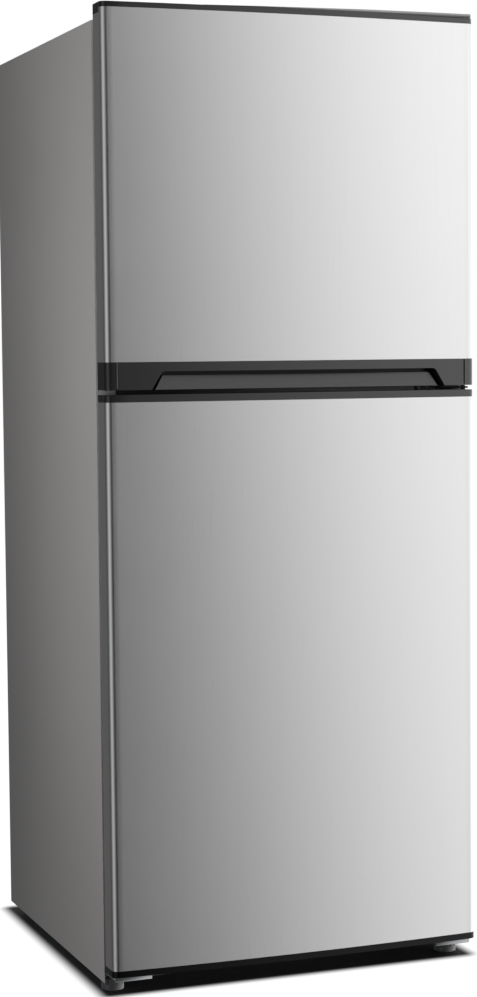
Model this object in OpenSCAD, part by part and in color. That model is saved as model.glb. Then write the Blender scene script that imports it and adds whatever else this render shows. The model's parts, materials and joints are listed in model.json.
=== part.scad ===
// Top freezer refrigerator, free standing, with two contoured doors hinged on the right.
// Millimetres. +Z is up, -Y is the front, and the origin is on the floor under the middle of the whole
// object.

/* [Overall] */
// Width of the cabinet and of the doors
body_w = 600; // [520:10:720]
// Height of the side panels
cabinet_h = 1435; // [1250:5:1722]
// Depth of the side panels
cabinet_d = 546; // [500:2:655]
// Gap between the floor and the side panels
floor_gap = 15; // [14:1:18]
// Height of the freezer section, from the cabinet's top to the middle of the divider
freezer_section = 545.5; // [440:0.5:655]
// How far the condenser's spacers stand behind the side panels
rear_stand = 24; // [20:1:30]

/* [Doors] */
// Depth of a door's flat side
door_side = 29; // [24:1:36]
// Radius of a door's vertical front edges
door_edge_r = 10; // [6:1:12]
// How far the middle of a door stands in front of its edges
door_crown = 9; // [5:1:12]
// Gap between a door and the cabinet, filled by the gasket
gasket_gap = 8; // [7:0.5:10]
// Gap between the two doors
door_split_gap = 7; // [6:0.5:9]
// How far the freezer door rises over the cabinet's top
door_rise = 21; // [18:1:26]
// Height of the fridge door's lower edge over the floor
fridge_door_lift = 34; // [30:1:37]
// Largest opening angle of the doors
door_swing = 120; // [90:5:125]
// Thickness of the doors' metal skin
skin_t = 0.8; // [0.6:0.1:1.2]
// Wall of the plastic end caps
cap_wall = 2.5; // [2:0.1:3]
// Visible height of the freezer door's top cap
top_cap_h = 8; // [6:1:12]
// Height of the handle trim under the freezer door
handle_trim_h = 41; // [36:1:50]
// Visible height of the fridge door's top cap
grip_cap_h = 11; // [8:1:13]
// Visible height of the fridge door's bottom cap
foot_cap_h = 10; // [8:1:14]
// Depth of the finger pocket
pocket_d = 29; // [24:1:32]
// Height of the finger pocket's front opening
pocket_h = 27; // [20:1:27]
// Half width of the finger pocket at its lower front edge
pocket_half = 240; // [200:1:262]
// How far the pocket's middle stands to the right of the door's middle
pocket_shift = 9; // [0:1:12]
// How far the liner's dyke stands into the cabinet
dyke_h = 40; // [34:1:44]
// Width of the liner's dyke
dyke_w = 26; // [20:1:30]

/* [Walls] */
// Thickness of the cabinet's sheet steel
sheet = 0.8; // [0.6:0.1:1.2]
// Thickness of the plastic liners
liner_t = 1.5; // [1.2:0.1:2]
// Insulated side wall of the freezer
freezer_wall = 48; // [44:1:58]
// Insulated side wall of the fridge
fridge_wall = 38; // [36:1:46]
// Insulated top wall
top_wall = 52; // [46:1:62]
// Insulated back wall
back_wall = 50; // [42:1:60]
// Insulated floor
base_wall = 35; // [34:1:42]
// Height of the divider between the compartments
mullion_h = 54; // [50:1:64]
// Width of the steel flange round the cabinet's front
flange_w = 30; // [28:1:32]

/* [Machine compartment] */
// Height of the compartment over the side panels' lower edge
machine_h = 215; // [200:5:258]
// Depth of the compartment
machine_d = 190; // [182:2:228]
// Radius of the compressor's shell
compressor_r = 72; // [60:1:76]

/* [Interior] */
// Number of glass shelves over the crisper
shelf_count = 2; // [1:1:3]
// Thickness of the shelf glass
glass_t = 4; // [3:0.5:5]
// Depth of the door bins
bin_d = 92; // [76:1:96]
// Wall of the door bins
bin_wall = 2.2; // [1.8:0.1:3]
// Depth of the cooling chamber behind the freezer's back cover
cooler_d = 70; // [64:1:84]

/* [Hinges and feet] */
// Radius of the hinge pins
pin_r = 4; // [3:0.5:5]
// Radial clearance between a hinge pin and its bushing
pin_clearance = 0.06; // [0.03:0.01:0.1]
// Distance of the hinge axis from the cabinet's side
pivot_inset = 12; // [11:0.5:14]
// Distance of the hinge axis in front of a door's back
pivot_depth = 22; // [17:0.5:22]
// Thickness of the hinge plates
hinge_t = 3; // [2.5:0.5:3]
// Radius of the levelling feet
foot_r = 17; // [14:1:18]
// Travel of the levelling feet
foot_travel = 10; // [6:1:11]
// Radius of the rear rollers
roller_r = 16; // [14:1:16]

/* [Hidden] */
$fn = 48;

// Levels and planes
half = body_w / 2;
cab_z0 = floor_gap;
cab_z1 = floor_gap + cabinet_h;
door_depth = gasket_gap + door_side + door_edge_r + door_crown;
overall_d = door_depth + cabinet_d + rear_stand;
front_y = -overall_d / 2;
cab_front = front_y + door_depth;
cab_back = cab_front + cabinet_d;
rear_y = overall_d / 2;
door_back = cab_front - gasket_gap;
side_front = door_back - door_side;
pivot_x = half - pivot_inset;
pivot_y = door_back - pivot_depth;
split_z = cab_z1 - freezer_section;

// Door heights
freezer_z0 = split_z + door_split_gap / 2;
freezer_z1 = cab_z1 + door_rise;
fridge_z0 = fridge_door_lift;
fridge_z1 = split_z - door_split_gap / 2;
cap_skirt = 7;
grip_body_h = 26;

// Compartments
panel_recess = 10;
inner_back = cab_back - panel_recess - back_wall;
freezer_half = half - freezer_wall;
freezer_floor = split_z + mullion_h / 2;
freezer_ceiling = cab_z1 - top_wall;
fridge_half = half - fridge_wall;
base_z = cab_z0 + 25;
fridge_floor = base_z + base_wall;
fridge_ceiling = split_z - mullion_h / 2;
liner_r = 16;
flange_reveal = 1.5;
machine_y = cab_back - machine_d;
machine_z = cab_z0 + machine_h;
step_wall = 45;
step_y = machine_y - step_wall;
step_z = machine_z + step_wall;
contact_gap = 0.3;
fit_gap = 0.5;

// Gaskets
gasket_inset = pivot_inset + 1;
gasket_w = 16;
freezer_seal_z0 = freezer_z0 + 4;
freezer_seal_z1 = cab_z1 - 10;
fridge_seal_z0 = base_z + 10;
fridge_seal_z1 = fridge_z1 - 4;

// Dykes of the door liners: the lowest, highest and half width outside
dyke_gap = 12;
freezer_dyke_half = freezer_half - dyke_gap;
fridge_dyke_half = fridge_half - dyke_gap;
freezer_dyke_z0 = freezer_floor + dyke_gap;
freezer_dyke_z1 = freezer_ceiling - dyke_gap;
fridge_dyke_z0 = fridge_floor + dyke_gap;
fridge_dyke_z1 = fridge_ceiling - dyke_gap + 4;
bin_reach = door_back + bin_d;

// Hinges
bush_r = 7;
bush_len = 20;
pin_len = 17;
lip_t = 6;
hook_h = 9;
pocket_slant = 18;
pocket_r = 8;
pocket_groove = 9;
slope_drop = 6;
slope_y0 = 15;
slope_y1 = 19;
grip_half = pocket_half - 24;
grip_d = 17;
grip_y0 = front_y + door_crown + lip_t;
grip_y1 = grip_y0 + 19;
foam_joint = 0.15;
foot_h = 18;
bracket_drop = 3.5;
boss_r = pivot_inset - cap_wall + 0.6;
leaf_r = pivot_inset - 3.5;
top_leaf_z = freezer_z1 + 1.5;
mid_leaf_z = split_z - hinge_t / 2;
low_leaf_z = fridge_z0 - 3 - hinge_t;
bracket_in = 66;
screw_head_r = 4.5;
screw_head_h = 2.4;
foot_x = half - foot_r - 3;
foot_y = cab_front + 24;
stem_r = 5;
foot_boss_z = base_z - 20;
roller_w = 20;
roller_x = half - 34;
roller_y = cab_back - 46;
axle_r = 3;
shelf_plate_z = 2 * roller_r + 3;

// Shelves
shelf_front = bin_reach + 22;
duct_d = 20;
shelf_back = inner_back - duct_d - 2;
rail_h = 6;
crisper_top = step_z;
shelf_pitch = (fridge_ceiling - crisper_top) / (shelf_count + 1);
freezer_shelf_z = freezer_floor + (freezer_ceiling - freezer_floor) * 0.52;
cover_y = inner_back - cooler_d;
cover_t = 2;
fan_z = freezer_ceiling - 92;
fan_r = 46;
drawer_front = shelf_front + 14;
drawer_wall = 2.2;
drawer_h = step_z - fridge_floor - 22;

// Points of an arc round (cx, cy)
function arc(cx, cy, r, a0, a1, n) =
    [for (i = [0:n]) let (a = a0 + (a1 - a0) * i / n) [cx + r * cos(a), cy + r * sin(a)]];

// Outline of a rectangle with round corners
function round_rect(x0, y0, x1, y1, r, n = 6) = concat(
    arc(x0 + r, y0 + r, r, 180, 270, n), arc(x1 - r, y0 + r, r, 270, 360, n),
    arc(x1 - r, y1 - r, r, 0, 90, n), arc(x0 + r, y1 - r, r, 90, 180, n));

// Plan outline of a door, moved inwards by d and closed at y_back. Its front is one shallow arc.
function door_plan(d, y_back) =
    let (chord = half - door_edge_r, big_r = (chord * chord + door_crown * door_crown) / (2 * door_crown),
        centre_y = front_y + big_r, lean = asin(chord / big_r), edge_r = max(door_edge_r - d, 1), n = 6,
        corner_x = half - d - edge_r, corner_y = side_front - door_edge_r + d + edge_r)
    concat([[-half + d, y_back]],
        arc(-corner_x, corner_y, edge_r, 180, 270 - lean, n),
        [for (i = [1:23]) let (a = 270 - lean + 2 * lean * i / 24)
            [(big_r - d) * cos(a), centre_y + (big_r - d) * sin(a)]],
        arc(corner_x, corner_y, edge_r, 270 + lean, 360, n),
        [[half - d, y_back]]);

// Points along a path of straight runs whose corners are rounded with radius r
function turn(a, b, c, r, n) =
    let (u = (a - b) / norm(a - b), v = (c - b) / norm(c - b), angle = acos(u * v),
        reach = r / tan(angle / 2),
        middle = b + (u + v) / norm(u + v) * r / sin(angle / 2), p = b + u * reach, q = b + v * reach,
        swing = 180 - angle, e = (p - middle) / r, f0 = (q - middle) - e * (e * (q - middle)),
            f = f0 / norm(f0))
    [for (i = [0:n]) middle + r * (e * cos(swing * i / n) + f * sin(swing * i / n))];
function rounded_path(pts, r, n = 5) = concat([pts[0]],
    [for (i = [1:len(pts) - 2]) each turn(pts[i - 1], pts[i], pts[i + 1], r, n)], [pts[len(pts) - 1]]);

// A round tube swept along points, as one closed polyhedron
function path_dir(p, i) = let (a = p[max(i - 1, 0)], b = p[min(i + 1, len(p) - 1)]) (b - a) / norm(b - a);
function side_dir(d, last) = let (s = last - d * (d * last)) s / norm(s);
function side_dirs(p, i, last) = i == len(p) ? [] :
    let (s = side_dir(path_dir(p, i), last)) concat([s], side_dirs(p, i + 1, s));
module tube_along(p, r, sides = 10) {
    first = abs(path_dir(p, 0)[2]) < 0.9 ? [0, 0, 1] : [0, 1, 0];
    s = side_dirs(p, 0, first);
    rings = [for (i = [0:len(p) - 1]) let (d = path_dir(p, i), t = cross(d, s[i]))
        each [for (k = [0:sides - 1]) let (a = 360 * k / sides) p[i] + r * (s[i] * cos(a) + t * sin(a))]];
    last = (len(p) - 1) * sides;
    faces = concat([[for (k = [0:sides - 1]) k]], [[for (k = [sides - 1:-1:0]) last + k]],
        [for (i = [0:len(p) - 2], k = [0:sides - 1]) let (m = (k + 1) % sides, o = i * sides)
            each [[o + k, o + sides + k, o + sides + m], [o + k, o + sides + m, o + m]]]);
    polyhedron(rings, faces);
}

// Extrusions along the three axes. A profile for along_x is drawn as (y, z), one for along_y as (x, z).
module along_x(x0, x1) translate([x0, 0, 0]) rotate([90, 0, 90]) linear_extrude(x1 - x0) children();
module along_y(y0, y1) translate([0, y1, 0]) rotate([90, 0, 0]) linear_extrude(y1 - y0) children();
module along_z(z0, z1) translate([0, 0, z0]) linear_extrude(z1 - z0) children();
module block(x0, y0, z0, x1, y1, z1) translate([x0, y0, z0]) cube([x1 - x0, y1 - y0, z1 - z0]);
module both_sides() { children(); mirror([1, 0, 0]) children(); }
module rod(x, y, z0, z1, r) translate([x, y, z0]) cylinder(h = z1 - z0, r = r);

// ---------------------------------------------------------------- cabinet shell

// Right side panel with its front flange and the hem along its rear edge
module side_panel() {
    block(half - sheet, cab_front, cab_z0, half, cab_back, cab_z1);
    block(half - flange_w, cab_front, base_z, half - sheet / 2, cab_front + sheet, cab_z1);
    block(half - 10, cab_back - sheet, machine_z, half - sheet / 2, cab_back, cab_z1);
}
module side_panel_right() { color("#8b8a8c") side_panel(); }
module side_panel_left() { color("#8b8a8c") mirror([1, 0, 0]) side_panel(); }

module top_panel() {
    color("#8b8a8c") {
        block(-half + sheet, cab_front + sheet, cab_z1 - sheet, half - sheet, cab_back - sheet, cab_z1);
        block(-half + flange_w, cab_front, cab_z1 - flange_w, half - flange_w, cab_front + sheet, cab_z1);
        block(-half + 10, cab_back - sheet, cab_z1 - 10, half - 10, cab_back, cab_z1);
    }
}

// Back panel with two pressed stiffening ribs
module back_panel() {
    rib_x = half * 0.62;
    color("#a7a9ab") {
        block(-half + sheet, cab_back - panel_recess, machine_z + sheet,
            half - sheet, cab_back - panel_recess + sheet, cab_z1 - sheet);
        for (x = [-rib_x, rib_x])
            block(x - 9, cab_back - panel_recess + sheet / 2, machine_z + 60,
                x + 9, cab_back - panel_recess + 3, cab_z1 - 70);
    }
}

// One bent sheet: front flange, floor, front wall and roof of the machine compartment
module base_pan() {
    top_y = cab_back - panel_recess;
    color("#b9bbbd") {
        along_x(-half + sheet, half - sheet) polygon([
            [cab_front + liner_t, base_z], [machine_y - sheet, base_z], [machine_y - sheet, machine_z],
            [machine_y, machine_z], [top_y, machine_z], [top_y, machine_z + sheet],
            [machine_y - 2 * sheet, machine_z + sheet], [machine_y - 2 * sheet, base_z + sheet],
            [cab_front + liner_t, base_z + sheet]]);
        block(-half + flange_w, cab_front, base_z, half - flange_w, cab_front + sheet,
            fridge_floor - liner_t - flange_reveal - 4);
        block(-half + flange_w, cab_front, base_z, half - flange_w, cab_front + liner_t + 1,
            base_z + sheet);
    }
}

module mullion_trim() {
    color("#26272a") block(-half + flange_w, cab_front, fridge_ceiling + flange_reveal,
        half - flange_w, cab_front + sheet, freezer_floor - flange_reveal);
}

// Cavity of the freezer, moved outwards by d, reaching forward to y0
module freezer_cavity(d, y0) {
    along_y(y0, inner_back + d)
        polygon(round_rect(-freezer_half - d, freezer_floor - d, freezer_half + d, freezer_ceiling + d,
            liner_r + d));
}

// Cavity of the fridge, with the step over the machine compartment
module fridge_cavity(d, y0) {
    intersection() {
        along_y(y0, inner_back + d)
            polygon(round_rect(-fridge_half - d, fridge_floor - d, fridge_half + d, fridge_ceiling + d,
                liner_r + d));
        along_x(-half, half) polygon([
            [y0 - 1, fridge_floor - d - 1], [step_y + d, fridge_floor - d - 1], [step_y + d, step_z - d],
            [inner_back + d + 1, step_z - d], [inner_back + d + 1, fridge_ceiling + d + 1],
            [y0 - 1, fridge_ceiling + d + 1]]);
    }
}

module cabinet_foam() {
    foam_y0 = cab_front + liner_t;
    color("#e8d9a0") difference() {
        block(-half + sheet, foam_y0, base_z + sheet, half - sheet, cab_back - panel_recess,
            cab_z1 - sheet);
        freezer_cavity(liner_t, foam_y0 - 1);
        fridge_cavity(liner_t, foam_y0 - 1);
        block(-half, machine_y - 2 * sheet, 0, half, cab_back, machine_z + sheet);
    }
}

// Ledge along both side walls of a cavity
module rails(wall_x, y0, y1, z) {
    both_sides() block(wall_x - rail_h, y0, z - rail_h, wall_x + liner_t / 2, y1, z);
}

module freezer_liner() {
    color("#f2f3f3") {
        difference() {
            union() {
                freezer_cavity(liner_t, cab_front + liner_t / 2);
                block(-half + flange_w, cab_front, freezer_floor - flange_reveal,
                    half - flange_w, cab_front + liner_t, cab_z1 - flange_w);
            }
            freezer_cavity(0, cab_front - 1);
        }
        rails(freezer_half, shelf_front, cover_y - 4, freezer_shelf_z);
    }
}

module fridge_liner() {
    color("#f2f3f3") {
        difference() {
            union() {
                fridge_cavity(liner_t, cab_front + liner_t / 2);
                block(-half + flange_w, cab_front, fridge_floor - liner_t - flange_reveal - 4,
                    half - flange_w, cab_front + liner_t, fridge_ceiling + flange_reveal);
            }
            fridge_cavity(0, cab_front - 1);
        }
        rails(fridge_half, shelf_front, step_y + liner_t / 2, crisper_top);
        for (i = [1:shelf_count])
            rails(fridge_half, shelf_front, shelf_back, crisper_top + i * shelf_pitch);
    }
}

// ---------------------------------------------------------------- hinges, feet and rollers

// Flat leaf from y_end forward to a round nose about the hinge axis
module hinge_leaf(z0, y_end, x_in) {
    along_z(z0, z0 + hinge_t) polygon(concat([[x_in, y_end], [x_in, pivot_y + 14]],
        arc(pivot_x, pivot_y, leaf_r, 215, 360, 10), [[pivot_x + leaf_r, y_end]]));
}

module top_hinge() {
    riser_y = cab_front + 5;
    color("#c4c6c9") {
        hinge_leaf(top_leaf_z, riser_y + hinge_t, pivot_x - 42);
        block(pivot_x - 42, riser_y, cab_z1, pivot_x + leaf_r, riser_y + hinge_t, top_leaf_z + hinge_t);
        difference() {
            block(pivot_x - 80, riser_y, cab_z1, pivot_x + leaf_r, riser_y + 62, cab_z1 + hinge_t);
            for (x = [-64, -30, -2]) rod(pivot_x + x, riser_y + 40, cab_z1 - 1, cab_z1 + 9, 2.6);
        }
        rod(pivot_x, pivot_y, top_leaf_z - pin_len, top_leaf_z + hinge_t / 2, pin_r);
    }
}

module middle_hinge() {
    leg_h = 13;
    color("#26272a") {
        hinge_leaf(mid_leaf_z, cab_front, pivot_x - 30);
        difference() {
            block(pivot_x - bracket_in, cab_front - hinge_t, split_z - leg_h / 2,
                pivot_x + leaf_r, cab_front, split_z + leg_h / 2);
            for (x = [-54, -40]) translate([pivot_x + x, cab_front + 1, split_z])
                rotate([90, 0, 0]) cylinder(h = 9, r = 2.6);
        }
        rod(pivot_x, pivot_y, mid_leaf_z - pin_len, mid_leaf_z + hinge_t + pin_len, pin_r);
    }
}

// Bracket under the base pan that reaches forward under the fridge door and holds a levelling foot
module low_bracket() {
    web_y = cab_front + 3;
    lip_y = pivot_y - 5.5;
    difference() {
        union() {
            along_z(low_leaf_z, low_leaf_z + hinge_t) polygon([[pivot_x - 52, web_y + hinge_t],
                [pivot_x - 52, lip_y], [pivot_x + leaf_r - 3, lip_y], [pivot_x + leaf_r, lip_y + 3],
                [pivot_x + leaf_r, web_y + hinge_t]]);
            block(pivot_x - 52, lip_y, low_leaf_z - bracket_drop, pivot_x + leaf_r - 3, lip_y + hinge_t,
                low_leaf_z + hinge_t / 2);
            block(pivot_x - 52, web_y, low_leaf_z, pivot_x + leaf_r, web_y + hinge_t, base_z);
            block(pivot_x - 82, web_y, base_z - hinge_t, pivot_x + leaf_r, web_y + 76, base_z);
            rod(foot_x, foot_y, foot_boss_z, base_z - 1, stem_r + 4);
        }
        rod(foot_x, foot_y, foot_boss_z - 1, base_z + 1, stem_r + 0.08);
        for (x = [-70, -30]) rod(pivot_x + x, web_y + 62, base_z - 9, base_z + 1, 2.6);
    }
}
module bottom_hinge() {
    color("#c4c6c9") {
        low_bracket();
        rod(pivot_x, pivot_y, low_leaf_z + hinge_t / 2, low_leaf_z + hinge_t + pin_len, pin_r);
    }
}
module left_foot_bracket() { color("#c4c6c9") mirror([1, 0, 0]) low_bracket(); }

module screw(r = 2.5, length = 8) {
    cylinder(h = screw_head_h, r = screw_head_r);
    translate([0, 0, -length]) cylinder(h = length + 0.5, r = r);
}
// Screws sit 0.05 over the plates they hold
module hinge_screws() {
    seat = 0.05;
    color("#d5d7d9") {
        for (x = [-64, -30, -2])
            translate([pivot_x + x, cab_front + 45, cab_z1 + hinge_t + seat]) screw(length = hinge_t - 0.2);
        for (x = [-54, -40])
            translate([pivot_x + x, cab_front - hinge_t - seat, split_z]) rotate([90, 0, 0])
                screw(length = hinge_t - 0.2);
        both_sides() for (x = [-70, -30])
            translate([pivot_x + x, cab_front + 65, base_z - hinge_t - seat]) rotate([180, 0, 0])
                screw(length = hinge_t - 0.2);
    }
}

// Long moulded cover over the top hinge, highest at the hinge side
module top_hinge_cover() {
    wall = 2;
    left_x = -half * 0.47;
    right_x = half - 1;
    lip_y = pivot_y - leaf_r - 7;
    rear_edge = cab_front + 92;
    top_z = top_leaf_z + hinge_t + 3.3;
    over_door = freezer_z1 + 1;
    module side_profile(d) polygon([
        [lip_y + d, over_door - (d > 0 ? 2 : 0)], [lip_y + d, over_door + 2.5], [lip_y + 6 + d / 2,
            top_z - d],
        [rear_edge - 40, top_z - d], [rear_edge - d, cab_z1 + 8], [rear_edge - d, cab_z1 - (d > 0 ? 1 : 0)],
        [cab_front + 1 + d, cab_z1 - (d > 0 ? 1 : 0)], [cab_front + 1 + d, over_door - (d > 0 ? 2 : 0)]]);
    module front_profile(d) polygon([
        [left_x + d, cab_z1 - 2], [left_x + d, over_door + 0.6 - d / 2], [left_x + 140, top_z - 3.2 - d],
        [left_x + 260, top_z - 0.8 - d], [right_x - 60, top_z + 0.01 - d], [right_x - d, top_z + 0.01 - d],
        [right_x - d, cab_z1 - 2]]);
    color("#2b2c2e") difference() {
        intersection() {
            along_x(left_x, right_x) side_profile(0);
            along_y(lip_y - 1, rear_edge + 1) front_profile(0);
            along_z(cab_z1 - 5, top_z + 5) polygon(door_plan(1, rear_edge + 5));
        }
        intersection() {
            along_x(left_x + wall, right_x - wall) side_profile(wall);
            along_y(lip_y - 1, rear_edge + 1) front_profile(wall);
            along_z(cab_z1 - 5, top_z + 5) polygon(door_plan(1 + wall, rear_edge + 5));
        }
    }
}

module foot() {
    color("#3c3d40") {
        difference() {
            rod(foot_x, foot_y, 0, foot_h, foot_r);
            for (a = [0:45:315]) translate([foot_x, foot_y, foot_h / 2]) rotate([0, 0, a])
                translate([foot_r + 1.2, 0, 0]) cylinder(h = foot_h, r = 2.6);
        }
        rod(foot_x, foot_y, foot_h - 1, base_z - 1, stem_r);
    }
}
module levelling_foot_right() { foot(); }
module levelling_foot_left() { mirror([1, 0, 0]) foot(); }

// Roller on its own hub, with a tread groove. The axle belongs to the brackets.
module roller() {
    color("#c9ccce") translate([roller_x - roller_w / 2, roller_y, roller_r]) rotate([0, 90,
        0]) difference() {
        cylinder(h = roller_w, r = roller_r);
        translate([0, 0, -1]) cylinder(h = roller_w + 2, r = axle_r + 0.08);
        for (h = [-1, roller_w - 4]) translate([0, 0, h]) difference() {
            cylinder(h = 5, r = roller_r - 4);
            translate([0, 0, -1]) cylinder(h = 7, r = axle_r + 4);
        }
    }
}
module rear_roller_right() { roller(); }
module rear_roller_left() { mirror([1, 0, 0]) roller(); }

module rear_roller_brackets() {
    ear = 2;
    color("#b9bbbd") both_sides() {
        for (x = [roller_x - roller_w / 2 - 1 - ear, roller_x + roller_w / 2 + 1]) {
            block(x, roller_y - 10, roller_r - 7, x + ear, roller_y + 10, shelf_plate_z);
        }
        block(roller_x - roller_w / 2 - 1 - ear, roller_y - 18, shelf_plate_z - ear,
            roller_x + roller_w / 2 + 1 + ear, roller_y + 18, shelf_plate_z);
        translate([roller_x - roller_w / 2 - 4, roller_y, roller_r]) rotate([0, 90, 0])
            cylinder(h = roller_w + 8, r = axle_r);
    }
}

// ---------------------------------------------------------------- machine compartment and back

compressor_x = half * 0.36;
compressor_y = (machine_y + cab_back) / 2 + 3;
compressor_z = shelf_plate_z + 16;
compressor_h = machine_z - compressor_z - 36;

module compressor_shelf() {
    color("#9fa2a5") {
        block(-half + sheet, machine_y + 1, shelf_plate_z, half - sheet, cab_back - 12, shelf_plate_z + 2);
        block(-half + sheet, cab_back - 14, shelf_plate_z, half - sheet, cab_back - 12, shelf_plate_z + 14);
        both_sides() block(half - sheet - 2, machine_y + 1, shelf_plate_z, half - sheet, cab_back - 12,
            shelf_plate_z + 14);
    }
}

// Welded steel shell: two domes with a seam band, on a foot plate
module compressor() {
    dome = compressor_h / 2;
    color("#1d1e20") {
        translate([compressor_x, compressor_y, compressor_z + dome]) rotate_extrude() polygon(concat(
            [[0, -dome]], arc(compressor_r - 38, -dome + 38, 38, 270, 360, 8), [[compressor_r, -5]],
            [[compressor_r + 3, -5], [compressor_r + 3, 5], [compressor_r, 5]],
            arc(compressor_r - 46, dome - 46, 46, 0, 90, 8), [[0, dome]]));
        difference() {
            block(compressor_x - compressor_r - 8, compressor_y - 52, compressor_z - 4,
                compressor_x + compressor_r + 8, compressor_y + 52, compressor_z + 1);
            for (x = [-1, 1], y = [-1, 1])
                rod(compressor_x + x * (compressor_r - 4), compressor_y + y * 42, compressor_z - 9,
                    compressor_z + 9, 6.2);
        }
        rod(compressor_x + 44, compressor_y - 20, compressor_z + compressor_h - 30,
            compressor_z + compressor_h - 3, 4);
    }
}

// Rubber grommets with their bolts
module compressor_mounts() {
    color("#26272a") for (x = [-1, 1], y = [-1, 1])
        translate([compressor_x + x * (compressor_r - 4), compressor_y + y * 42, 0]) {
            rod(0, 0, shelf_plate_z + 2, compressor_z - 4, 11);
            rod(0, 0, compressor_z - 4.5, compressor_z + 4, 6);
            rod(0, 0, compressor_z + 3.5, compressor_z + 7, 8.5);
        }
}

module compressor_relay() {
    x0 = compressor_x - compressor_r - 42;
    color("#30323a") {
        block(x0, compressor_y - 26, compressor_z + 34, x0 + 36, compressor_y + 26, compressor_z + 92);
        block(x0 + 35, compressor_y - 14, compressor_z + 46, x0 + 38.6, compressor_y + 14,
            compressor_z + 80);
    }
}

module drain_pan() {
    pan_z = compressor_z + compressor_h + 16;
    px = compressor_x;
    color("#3a3c40") difference() {
        union() {
            along_z(pan_z, pan_z + 16)
                polygon(round_rect(px - 96, machine_y + 6, px + 96, cab_back - 16, 14));
            rod(px, compressor_y, compressor_z + compressor_h, pan_z + 1, 22);
        }
        along_z(pan_z + 2, pan_z + 20)
            polygon(round_rect(px - 94, machine_y + 8, px + 94, cab_back - 18, 12));
    }
}

// Bushing where the mains lead enters. The lead itself isn't part of the object.
module mains_inlet() {
    inlet_x = -half * 0.62;
    color("#1f2022") translate([inlet_x, cab_back - 14.1, shelf_plate_z + 46]) rotate([-90, 0,
        0]) difference() {
        union() {
            cylinder(h = 3, r = 15);
            translate([0, 0, -5]) cylinder(h = 18, r = 10);
        }
        translate([0, 0, -6]) cylinder(h = 20, r = 4.5);
    }
    color("#9fa2a5") difference() {
        block(inlet_x - 26, cab_back - 16.1, shelf_plate_z + 2, inlet_x + 26, cab_back - 14.1,
            shelf_plate_z + 76);
        translate([inlet_x, cab_back - 20, shelf_plate_z + 46]) rotate([-90, 0, 0]) cylinder(h = 20,
            r = 10.05);
    }
}

// Wire-on-tube condenser on the back
tube_r = 2.4;
wire_r = 0.8;
coil_y = rear_y - 8;
coil_half = half - 62;
coil_z0 = machine_z + 62;
coil_runs = 16;
coil_pitch = (cab_z1 - 96 - coil_z0) / (coil_runs - 1);

module condenser_tube() {
    corners = concat([[-coil_half - 14, coil_y - 6, coil_z0 - 70], [-coil_half - 14, coil_y, coil_z0]],
        [for (i = [0:coil_runs - 1]) let (s = i % 2 == 0 ? 1 : -1, z = coil_z0 + i * coil_pitch)
            each (i == 0 ? [[coil_half, coil_y, z]]
                : i == coil_runs - 1 ? [[-s * coil_half, coil_y, z], [s * (coil_half - 30), coil_y, z]]
                : [[-s * coil_half, coil_y, z], [s * coil_half, coil_y, z]])]);
    color("#1b1c1e") tube_along(rounded_path(corners, 12, 4), tube_r, 8);
}

module condenser_wires() {
    wires = 36;
    wire_x = coil_half - 34;
    color("#1b1c1e") for (i = [0:wires - 1]) {
        side = i % 2 == 0 ? 1 : -1;
        rod(-wire_x + 2 * wire_x * i / (wires - 1), coil_y + side * (tube_r + wire_r + 0.02),
            coil_z0 - 12, coil_z0 + (coil_runs - 1) * coil_pitch + 12, wire_r);
    }
}

// Stand-offs between the back panel and the coil. Their heads are what keeps the back off a wall.
module condenser_brackets() {
    color("#26272a") both_sides() for (i = [2, coil_runs - 3]) {
        z = coil_z0 + i * coil_pitch;
        difference() {
            block(coil_half - 29, cab_back - panel_recess + sheet, z - 12, coil_half - 15, rear_y, z + 12);
            translate([coil_half - 40, coil_y, z]) rotate([0, 90, 0]) cylinder(h = 40, r = tube_r + 0.05);
        }
        block(coil_half - 40, cab_back - panel_recess + sheet, z - 18, coil_half - 4,
            cab_back - panel_recess + sheet + 3, z + 18);
    }
}

drier_x = -half * 0.42;
drier_y = cab_back - 60;
drier_z = machine_z - 64;
module filter_drier() {
    color("#b5713f") translate([drier_x, drier_y, drier_z]) rotate([0, 90, 0]) {
        cylinder(h = 80, r = 9);
        translate([0, 0, -10]) cylinder(h = 11, r1 = 3, r2 = 9);
        translate([0, 0, 79]) cylinder(h = 11, r1 = 9, r2 = 3);
    }
}

// Discharge, liquid and suction lines
module refrigerant_lines() {
    low_z = compressor_z + 24;
    wall_y = machine_y + 20;
    color("#b5713f") {
        tube_along(rounded_path([[drier_x - 10.2, drier_y, drier_z], [drier_x - 46, drier_y, drier_z],
            [-coil_half - 14, drier_y + 30, drier_z], [-coil_half - 14, coil_y - 6.6, coil_z0 - 71.6]],
                14), 2.2, 8);
        tube_along(rounded_path([[drier_x + 90.2, drier_y, drier_z], [drier_x + 98, drier_y, drier_z],
            [drier_x + 98, wall_y, drier_z - 20], [drier_x + 98, wall_y, machine_z - 0.5]], 6), 1.4, 8);
        tube_along(rounded_path([[compressor_x - compressor_r + 12, compressor_y + 34, low_z - 4],
            [compressor_x - compressor_r - 54, compressor_y + 34, low_z - 4],
            [compressor_x - compressor_r - 54, wall_y, low_z], [compressor_x - compressor_r - 54, wall_y,
                machine_z - 0.5]],
            16), 3.4, 8);
    }
}

// ---------------------------------------------------------------- freezer interior

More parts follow.
